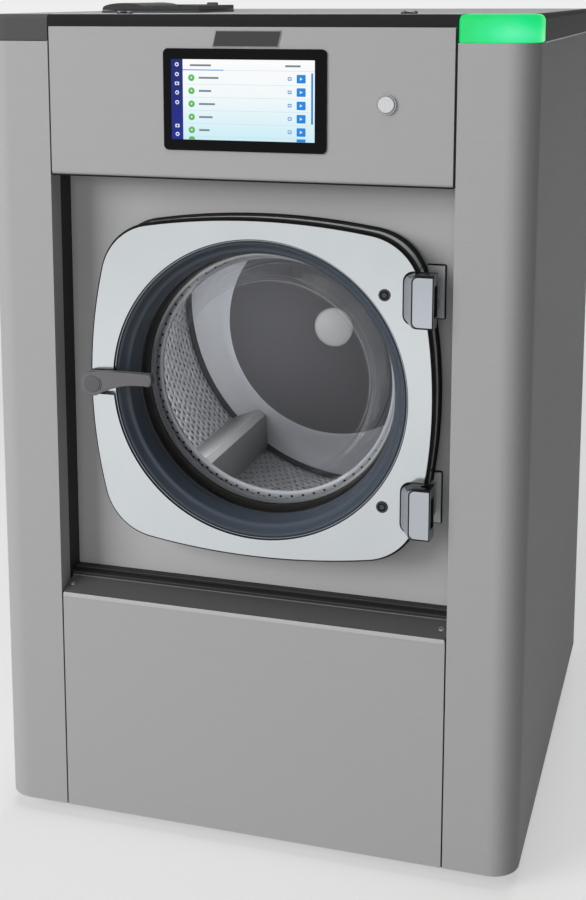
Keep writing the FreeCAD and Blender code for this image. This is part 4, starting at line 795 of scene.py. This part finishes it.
def make_rear_details():
    """Screws along the rear panel, nuts on the ports and the gland."""
    panel, face, port_z = 454, 456.2, 1290
    head = [(0, 5.2), (0.8, 5.2), (1.8, 4.4), (2.2, 3), (2.2, 1.6), (1, 1.5), (1, 0), (0, 0)]
    places = [(x, panel, z) for x in (-405, 405) for z in (70, 370, 670, 970, 1290)]
    for number, place in enumerate(places):
        lathe(f"rear_screw_{number}", head, "cabinet", "zinc", centre=place, steps=18, smooth=35)
    nut = [(0, 17.4), (0.6, 21), (5.4, 21), (6, 17.6), (6, 13.3), (0, 13.3)]
    thread = [(6.2, 13.25)]
    for turn in range(6):
        thread += [(7 + turn * 2, 13.25), (8 + turn * 2, 13.75)]
    thread += [(19.6, 13.25), (19.6, 12), (6.2, 12)]
    for name, x in (("cold", -260), ("hot", -180)):
        lathe(f"port_nut_{name}", nut, "cabinet", "brass", None, (x, face, port_z), TO_BACK, 36, 25,
              hexed((1, 2), 22))
        lathe(f"port_thread_{name}", thread, "cabinet", "brass", centre=(x, 456, port_z), steps=36, smooth=25)
    gland = [(0, 17), (1.2, 20), (14, 20), (19, 15), (19.6, 12), (19.6, 9.4), (0, 9.4)]
    lathe("gland_dome", gland, "cabinet", "housing_black", None, (330, face, 1250), TO_BACK, 36, 25,
          hexed((1, 2), 22.6))


def door_loop(offset, steps=14):
    """The door's rounded-square outline about its axis, moved out by an offset."""
    corner, half_w, half_h, side_r, top_r = 95, 283, 275, 812, 1134
    side_c = half_w - side_r
    top_c = half_h - top_r
    low, high = 0, 1.2
    for _ in range(60):
        angle = (low + high) / 2
        x = side_c + (side_r - corner) * math.cos(angle)
        z = (side_r - corner) * math.sin(angle)
        if math.hypot(x, z - top_c) < top_r - corner:
            low = angle
        else:
            high = angle
    side_end = math.degrees(angle)
    top_start = math.degrees(math.atan2(z - top_c, x))
    quarter = arc(side_c, 0, side_r + offset, 0, side_end, steps)
    quarter += arc(x, z, corner + offset, side_end, top_start, steps)[1:]
    quarter += arc(0, top_c, top_r + offset, top_start, 90, steps)[1:]
    upper = quarter + [(-px, pz) for px, pz in quarter[-2::-1]]
    loop = upper + [(px, -pz) for px, pz in upper[-2:0:-1]]
    return [(DOOR_X + px, DOOR_Z + pz) for px, pz in loop]


HINGE_LEVELS = (("low", 615.7), ("high", 946.3))


def make_door_edge():
    """Black seal behind the door frame's edge, and black bands round the frame's side and front edge that are
    painted dark reflections on the chrome, all open where the hinge arms pass.
    """
    seal = [(52, 0.1), (52.6, 0.7), (63, 0.9), (64.4, 2), (66.6, 2.6), (69, 2), (69, -5),
            (68.1, -5), (68.1, 0.1)]
    # A black band round the frame's side: painted dark reflection on the chrome.
    groove = [(16, 0.1), (16.6, 1.3), (26.6, 1.3), (27.2, 0.1)]
    # A thin black band round the frame's front edge: painted dark reflection on its rounded edge.
    line = [(10, -2.6), (10.2, -1.9), (11.4, -0.7), (12.8, 0.1), (14.6, 0.4), (14.8, -0.2)]
    hinge_side, hinge_offset, half_gap = 200, 165.3, 30
    for kind, rows in (("seal", seal), ("groove", groove), ("line", line)):
        loops = [[(x, FRONT + y, z) for x, z in door_loop(out)] for y, out in rows]
        count = len(loops[0])

        def blocked(index):
            x, _, z = loops[0][index % count]
            return x > hinge_side and abs(abs(z - DOOR_Z) - hinge_offset) < half_gap

        runs = []
        start = next(i for i in range(count) if blocked(i) and not blocked(i + 1))
        for step in range(1, count + 1):
            index = (start + step) % count
            if blocked(index):
                continue
            if blocked(index - 1):
                runs.append([])
            runs[-1].append(index)
        for number, run in enumerate(runs):
            rings = [[loop[index] for loop in loops] for index in run]
            show(f"door_{kind}_{number}", *skin(rings), "door", "trim_black")


def corner_run(level, half, radius):
    """How far a round corner pulls an upright edge in, at a level from its middle."""
    past = abs(level) - (half - radius)
    if past <= 0:
        return 0
    return radius - math.sqrt(max(0, radius * radius - past * past))


def make_hinge_covers():
    """Chromed hinge bodies that flare onto the door, each with a front plate in a dark outline. The bodies
    are a darker copy of the plate's chrome as painted shade, their top and bottom faces darker still as a
    painted dark reflection, and the outline is partly a groove and partly a painted dark reflection round the
    plate.
    """
    right, back, face, half, slot_half = 300.5, -446.6, -476, 41, 24
    foot_x, body_x, slot_x, slot_y = 249.5, 264, 274.5, -471

    def outline(level, inset, slotted):
        flare = foot_x + corner_run(level, 39.6, 15)
        left = body_x + corner_run(level, half, 9)
        points = [(flare, back), (flare, -449), (flare + 1.2, -451), (left, face + 3 + inset),
                  (left + 0.8, face + 1 + inset), (left + 2.6, face + inset), (right - 1.5, face + inset),
                  (right, face + 1.5 + inset)]
        if slotted:
            return points + [(right, slot_y), (slot_x, slot_y), (slot_x, back)]
        return points + [(right, back)]

    def stack(middle, rows, slotted):
        rings = []
        for level, inset in rows:
            rings.append([(x, y, middle + level) for x, y in outline(level, inset, slotted)])
        return skin(rings)

    upper = [(slot_half, 0), (29, 0), (32, 0), (35, 0), (37.5, 0.1), (39.2, 0.4), (40.4, 1.2), (half, 2.4)]
    lower = [(-level, inset) for level, inset in reversed(upper)]
    plates = (("plate", (268.6, 298.6), 38, 8, (face - 0.9, face + 0.2), "hinge_chrome", 0.5),
              # A black outline round the front plate: partly a groove, partly a painted dark reflection on
              # the plate's edge.
              ("line", (266.6, 300.4), 40, 9.6, (face - 0.3, face + 0.2), "trim_black", 0),
              ("foot", (247.6, 300.6), 41.6, 16, (-447.3, -445.8), "trim_black", 0))
    for name, middle in HINGE_LEVELS:
        parts = [stack(middle, upper, False), stack(middle, lower, False),
                 stack(middle, [(-slot_half, 0), (slot_half, 0)], True)]
        body = show(f"hinge_body_{name}", *join(parts), "door", "hinge_shade", "hinge_chrome", 35)
        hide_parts("hinge_blocks")
        # Top and bottom faces take a still darker chrome: painted dark reflection.
        body.data.materials.append(look["hinge_chrome_painted_dark_reflection"])
        for face_piece in body.data.polygons:
            if abs(face_piece.normal[2]) > 0.5:
                face_piece.material_index = 1
        for part, xs, tall, radius, ys, material, bevel in plates:
            shape = plate_outline(*xs, middle - tall, middle + tall, radius)
            slab(f"hinge_{part}_{name}", shape, *ys, "door", material, bevel=bevel)
        rim = rounded_box(272, 302.6, middle - 43.4, middle + 43.4, 3)
        slab(f"bracket_line_{name}", rim, -381.9, -380.9, "cabinet", "trim_black")
        dark_joint(f"bracket_window_{name}", (293.6, 299.8), (-384.7, -383.8), (middle - 26, middle + 26))


def make_handle_details():
    """Cover cap and a curved line on the handle's hub, and caps with a groove on the door plugs."""
    hub_x, hub_z, hub_face, plug_x, plug_face, reach, steps = -259, 778, -464, 219.5, -447.4, 36, 8
    hub = [(0, 14.2), (-0.9, 13.6), (-1.2, 12.2), (-1.2, 0), (0.3, 0), (0.3, 14.2)]
    place = (hub_x, hub_face, hub_z)
    lathe("handle_cap", hub, "handle", "handle_cap", "handle_grey", place, steps=48, smooth=30)
    curve = arc(hub_x, hub_z, 17, -reach, reach, steps) + arc(hub_x, hub_z, 16.2, reach, -reach, steps)
    slab("handle_arc", curve, hub_face - 0.35, hub_face + 0.2, "handle", "trim_dark", "handle_grey")
    plug = [(0.2, 8.4), (-0.5, 8), (-0.5, 6.6), (0, 6.2), (0, 4.6), (-0.5, 4.2), (-0.6, 0), (0.2, 0)]
    for name, z in (("low", 613), ("high", 949)):
        place = (plug_x, plug_face, z)
        lathe(f"plug_cap_{name}", plug, "door", "plug_dark", centre=place, steps=36, smooth=30)


def make_button():
    """Push button with a rounded edge."""
    radius, depth = 12.3, 15.9
    low, high = extent("button_cap")
    centre = ((low[0] + high[0]) / 2, low[1], (low[2] + high[2]) / 2)
    profile = [(0, 0)] + eased([(0, 9.6), (0, radius), (2.4, radius)], 2) + [(depth, radius), (depth, 0)]
    obj = lathe("button_face", profile, "button", "button_grey", centre=centre, steps=64)
    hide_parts("button_cap")


def make_badge():
    """Bare badge plate with a raised rim."""
    rim = [(-51, 1320.5), (54.5, 1320.5), (60.5, 1346), (-45, 1346)]
    plate = [(-49.2, 1321.9), (53.4, 1321.9), (58.7, 1344.6), (-43.9, 1344.6)]
    slab("badge_rim", rim, -456.9, -456, "cabinet", "badge_rim", "trim_dark", 0.3)
    slab("badge_plate", plate, -457.3, -456.2, "cabinet", "badge_grey", "trim_dark", 0.25)


def make_screen():
    """A generic list picture on the display: side bar, tab line, rows of marks and a scroll bar."""
    left, right, low, high = -117, 112, 1179, 1302
    bar = left + 19
    glass_face, layer = -458.5, 0.12

    def flat(name, outline, depth, material):
        slab(f"screen_{name}", outline, glass_face - layer * depth, glass_face + 0.3, "cabinet", material,
             "screen_black", smooth=0)

    flat("page", box(bar, right, low, high), 1, "paper_white")
    flat("bar", box(left, bar, low, high), 1, "bar_blue")
    middle = (left + bar) / 2
    for number, z in enumerate((1294, 1279, 1265, 1251, 1236, 1200, 1187)):
        shape = disc(middle, z, 3.2, 18)
        if number in (2, 5):
            shape = rounded_box(middle - 3.4, middle + 3.4, z - 2.6, z + 2.6, 0.8)
        flat(f"icon_{number}", shape, 2, "mark_white")
        flat(f"icon_core_{number}", disc(middle, z, 1.6, 14), 3, "bar_blue")
    flat("tab_text", box(bar + 12, bar + 46, 1291.5, 1294.5), 2, "mark_grey")
    flat("tab_text_right", box(right - 46, right - 22, 1291.5, 1294.5), 2, "mark_grey")
    flat("tab_line", box(bar, bar + 66, 1285.2, 1286.6), 2, "mark_blue")
    flat("tab_rule", box(bar + 66, right, 1285.4, 1286), 2, "line_grey")
    dot_x, name_x = bar + 14, bar + 26
    key_left, key_right = right - 28, right - 14
    for number, length in enumerate((32, 20, 26, 22, 17)):
        z = 1274 - 20 * number
        flat(f"dot_{number}", disc(dot_x, z, 5.2), 2, "mark_green")
        flat(f"dot_core_{number}", disc(dot_x, z, 1.5, 14), 3, "mark_white")
        flat(f"name_{number}", box(name_x, name_x + length, z - 1.5, z + 1.5), 2, "mark_grey")
        flat(f"note_{number}", rounded_box(right - 42, right - 36, z - 2.6, z + 2.6, 0.8), 2, "mark_blue")
        flat(f"note_core_{number}", box(right - 40.8, right - 37.2, z - 1.4, z + 1.4), 3, "mark_white")
        flat(f"key_{number}", rounded_box(key_left, key_right, z - 6.4, z + 6.4, 1.2), 2, "mark_blue")
        arrow = [(right - 23, z - 2.4), (right - 18.6, z), (right - 23, z + 2.4)]
        flat(f"key_core_{number}", arrow, 3, "mark_white")
        flat(f"rule_{number}", box(bar + 6, right - 8, z - 10.2, z - 9.7), 2, "line_grey")
    half_dot = [p for p in disc(dot_x, low + 0.3, 5.2, 40) if p[1] >= low + 0.2]
    flat("dot_last", half_dot, 2, "mark_green")
    flat("key_last", box(key_left, key_right, low + 0.2, low + 4.6), 2, "mark_blue")
    flat("scroll", rounded_box(right - 5.4, right - 2.4, 1206, 1283, 1.4), 2, "mark_blue")


def make_lid():
    """Hopper lid with a humped grip at its left, a low middle with thumb ribs and a step at its right."""
    left, right, low = -306.8, -133.2, 1374.5
    hump_x, hump_z, hump_half, hump_rise, steps = left + 38, 1378, 37, 8.2, 12
    line = [(right, low), (right, 1382), (right - 24, 1382), (right - 27, 1379)]
    for step in range(steps + 1):
        angle = math.pi * step / steps
        line.append((hump_x + hump_half * math.cos(angle), hump_z + hump_rise * math.sin(angle)))
    line.append((left, low))
    lid = slab("lid_shell", line, -280.8, -102.2, "lid", "lid_grey", bevel=0.8)
    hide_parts("hopper_lid")
    rib = rounded_box(-222, -168, 1378.2, 1380.2, 0.8, 3)
    for number in range(5):
        y = -262 + 6 * number
        slab(f"lid_rib_{number}", rib, y, y + 2.4, "lid", "lid_grey", bevel=0.3)


def make_lens():
    """Green status lamp round the cabinet's corner, with rolled edges."""
    points = corner_block(326.3, 442, FRONT, -385.2, 45, 6)
    rows = [(1329.2, 1.6), (1330, 0.6), (1331.6, 0), (1361.5, 0), (1364.6, 0.8), (1367.4, 2.4),
            (1369.2, 5), (1370, 8.4)]
    lens = tower("status_lamp", points, rows, "lens_green")
    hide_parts("status_lens")


def make_seams():
    """Dark joints between panels, and painted highlights: light lines on the top's front edge, under the top
    trims and on the sill's edges, and a light strip on the lower panel's folded edge.
    """
    control = (1117.5, 1350.5)
    for name, zs in (("control", control), ("lower", (25.5, 410.5))):
        for side, xs in (("left", (-325.8, -323.7)), ("right", (323.7, 325.8))):
            dark_joint(f"seam_{name}_{side}", xs, (-454.6, -414), zs)
    dark_joint("seam_face", (322.3, 325.8), (-456.4, -455), control)
    dark_joint("control_edge", (-323, 323), (-454.6, -449), (1115.6, 1117.8))
    block = [(-x, y) for x, y in reversed(corner_block(326.2, 442.3, FRONT - 0.3, -385, 45.3, 1))]
    tower("cap_line", block, [(1328.2, 0), (1329.4, 0)], "trim_black")
    # Light lines under the top trims: painted highlights on the pillars' top edges.
    for side, xs in (("left", (-442.5, -441.4)), ("right", (441.4, 442.5))):
        plank(f"painted_trim_highlight_line_{side}", xs, (-384, 455.5), (1327.4, 1329.2), "cabinet", "edge_bright", "trim_dark")
    across = (-325.5, 325.5)
    # A light strip on the top panel's front edge: painted highlight.
    plank("painted_top_edge_highlight", across, (-436.5, -432.6), (1369.4, 1370.5), "cabinet", "edge_bright",
          "cabinet_grey", 0.4)
    dark_joint("top_gap", across, (-432.6, -430.6), (1369.6, 1370.2))
    # Painted highlights: a light bar on the sill's rear edge and light lines on the edges of the steps behind
    # it.
    crest = extent("sill")[1][2]
    plank("sill_edge", (-323, 323), (-416.2, -413.9), (crest - 1.2, crest + 0.6), "cabinet", "sill_edge",
          "trim_black", 0.4)
    for number, (y, rise) in enumerate(((-414.4, 4.5), (-399.4, 9))):
        plank(f"painted_sill_step_line_{number}", (-322, 322), (y, y + 1.6), (crest + rise - 0.6, crest + rise + 0.3),
              "cabinet", "line_dim", "trim_black")
    # A lighter strip on the lower panel's rounded top edge: painted highlight.
    slab("painted_fold_highlight", rounded_box(-323.2, 323.2, 404, 411.2, 3), -456.8, -455.6, "cabinet", "cabinet_light",
         "cabinet_grey", 0.6)


def hang(data, place, aim):
    """Puts a lamp at a place, aimed at a point and kept out of mirrors."""
    obj = bpy.data.objects.new(data.name, data)
    obj.visible_camera = False
    obj.visible_glossy = False
    obj.visible_transmission = False
    obj.location = place
    obj.rotation_euler = (Vector(aim) - Vector(place)).to_track_quat("-Z", "Y").to_euler()
    scene.collection.objects.link(obj)


def soft_box(name, place, aim, size, power):
    data = bpy.data.lights.new(name, "AREA")
    data.shape = "RECTANGLE"
    data.size, data.size_y = size
    data.energy = power
    hang(data, place, aim)


def make_lamps():
    """Key at the left, faint rim, top and front fill, two small lamps in the drum, even light behind."""
    soft_box("key", (-4.8, -5.4, 3.2), (0, -0.4, 0.7), (4.4, 3.6), 440)
    soft_box("rim", (3.4, 2, 1.8), (0.3, 0, 0.8), (1.6, 2), 2)
    soft_box("top", (0, -0.6, 3.8), (0, -0.2, 1.2), (2, 2), 36)
    soft_box("fill", (0.2, -5, 1.5), (0, -0.4, 0.8), (2.6, 2.4), 50)
    soft_box("drum", (-0.16, -0.28, 0.81), (-0.2, 0.2, 0.6), (0.2, 0.2), 3.2)
    soft_box("drum_low", (0.13, -0.27, 0.6), (0.06, 0.2, 0.48), (0.14, 0.14), 0.75)
    back = bpy.data.lights.new("back", "SUN")
    back.energy = 1.9
    back.angle = math.radians(16)
    hang(back, (0, 3, 1.6), (0, 0, 0.6))


def seen_rays(tree):
    """One where a ray comes from the camera, a mirror or glass, and none for light on dull surfaces."""
    path = tree.nodes.new("ShaderNodeLightPath")
    total = path.outputs["Is Camera Ray"]
    for name in ("Is Glossy Ray", "Is Transmission Ray"):
        total = add(tree, "Math", "Value", total, path.outputs[name], mode="MAXIMUM")
    return total


def make_surroundings():
    """Pale surroundings, dimmer as light on dull surfaces, darker in mirrors to the right and above."""
    ambient, backdrop = 0.085, 0.86
    world = bpy.data.worlds.new("studio")
    world.use_nodes = True
    scene.world = world
    tree = world.node_tree
    place = add(tree, "TexCoord", "Generated")
    dark_side = Vector((0.62, 0.25, 0.74)).normalized()
    toward = add(tree, "VectorMath", "Value", place, dark_side, mode="DOT_PRODUCT")
    shade = spread_over(tree, toward, 0, 1, -0.25, 0.75)
    tones = ramp(tree, shade, (0, WHITE), (1, (0.16, 0.16, 0.17, 1)))
    dim = tree.nodes["Background"]
    feed(tree, dim, WHITE, ambient)
    pale = add(tree, "Background", "Background", WHITE, backdrop)
    mirrored = add(tree, "Background", "Background", tones, backdrop)
    seen = add(tree, "MixShader", "Shader", add(tree, "LightPath", "Is Glossy Ray"), pale, mirrored)
    both = add(tree, "MixShader", "Shader", seen_rays(tree), dim.outputs["Background"], seen)
    feed(tree, tree.nodes["World Output"], Surface=both)


def make_floor():
    """Pale floor that takes light near the part and fades to an even tone far away."""
    reach, fade_start, fade_end, near_lift, far_lift = 30, 2.5, 5.5, 0.46, 0.8
    near_tone, far_tone = (0.4, 0.4, 0.4, 1), (0.02, 0.02, 0.02, 1)
    mesh = bpy.data.meshes.new("floor")
    corners = [(x, y, 0) for x, y in box(-reach, reach, -reach, reach)]
    mesh.from_pydata(corners, [], [(0, 1, 2, 3)])
    floor = bpy.data.objects.new("floor", mesh)
    scene.collection.objects.link(floor)
    mat = surface("floor_pale", near_tone, 0.7, scale=3, tint=0.01, relief=0, Emission_Color=WHITE)
    tree = mat.node_tree
    distance = add(tree, "VectorMath", "Value", add(tree, "TexCoord", "Object"), mode="LENGTH")
    away = spread_over(tree, distance, 0, 1, fade_start, fade_end)
    tones = ramp(tree, away, (0, near_tone), (1, far_tone))
    lift = spread_over(tree, away, near_lift, far_lift, 0, 1)
    lift = add(tree, "Math", "Value", lift, seen_rays(tree), mode="MULTIPLY")
    feed(tree, tree.nodes["Principled BSDF"], Base_Color=tones, Emission_Strength=lift)
    mesh.materials.append(mat)


def make_camera():
    """The photograph's viewpoint. The focal length is in pixels of a picture 900 high."""
    focal, picture_height, sensor = 1488.3, 900, 36
    pitch, yaw, roll = 0.1706, 0.3084, -0.0034
    data = bpy.data.cameras.new("camera")
    data.sensor_width = sensor
    data.lens = focal * sensor / picture_height
    data.shift_x = 0.0443
    data.shift_y = -0.22
    obj = bpy.data.objects.new("camera", data)
    ahead = Vector((-math.sin(yaw) * math.cos(pitch), math.cos(yaw) * math.cos(pitch), -math.sin(pitch)))
    right = Vector((math.cos(yaw), math.sin(yaw), 0))
    up = right.cross(ahead)
    side = right * math.cos(roll) + up * math.sin(roll)
    top = up * math.cos(roll) - right * math.sin(roll)
    turn = Matrix((side, top, -ahead)).transposed()
    obj.matrix_world = Matrix.Translation((0.7018, -2.6161, 1.3976)) @ turn.to_4x4()
    scene.collection.objects.link(obj)
    scene.camera = obj


make_camera()
dress_nodes()
make_ring()
make_glass()
make_boot()
make_drum_wall()
make_drum_back()
make_drum_lip()
make_lifters()
make_springs()
make_hoses()
make_belt()
make_screws()
make_rear_details()
make_door_edge()
make_hinge_covers()
make_handle_details()
make_button()
make_badge()
make_screen()
make_lid()
make_lens()
make_seams()
make_surroundings()
make_floor()
make_lamps()
scene.view_settings.view_transform = "Standard"
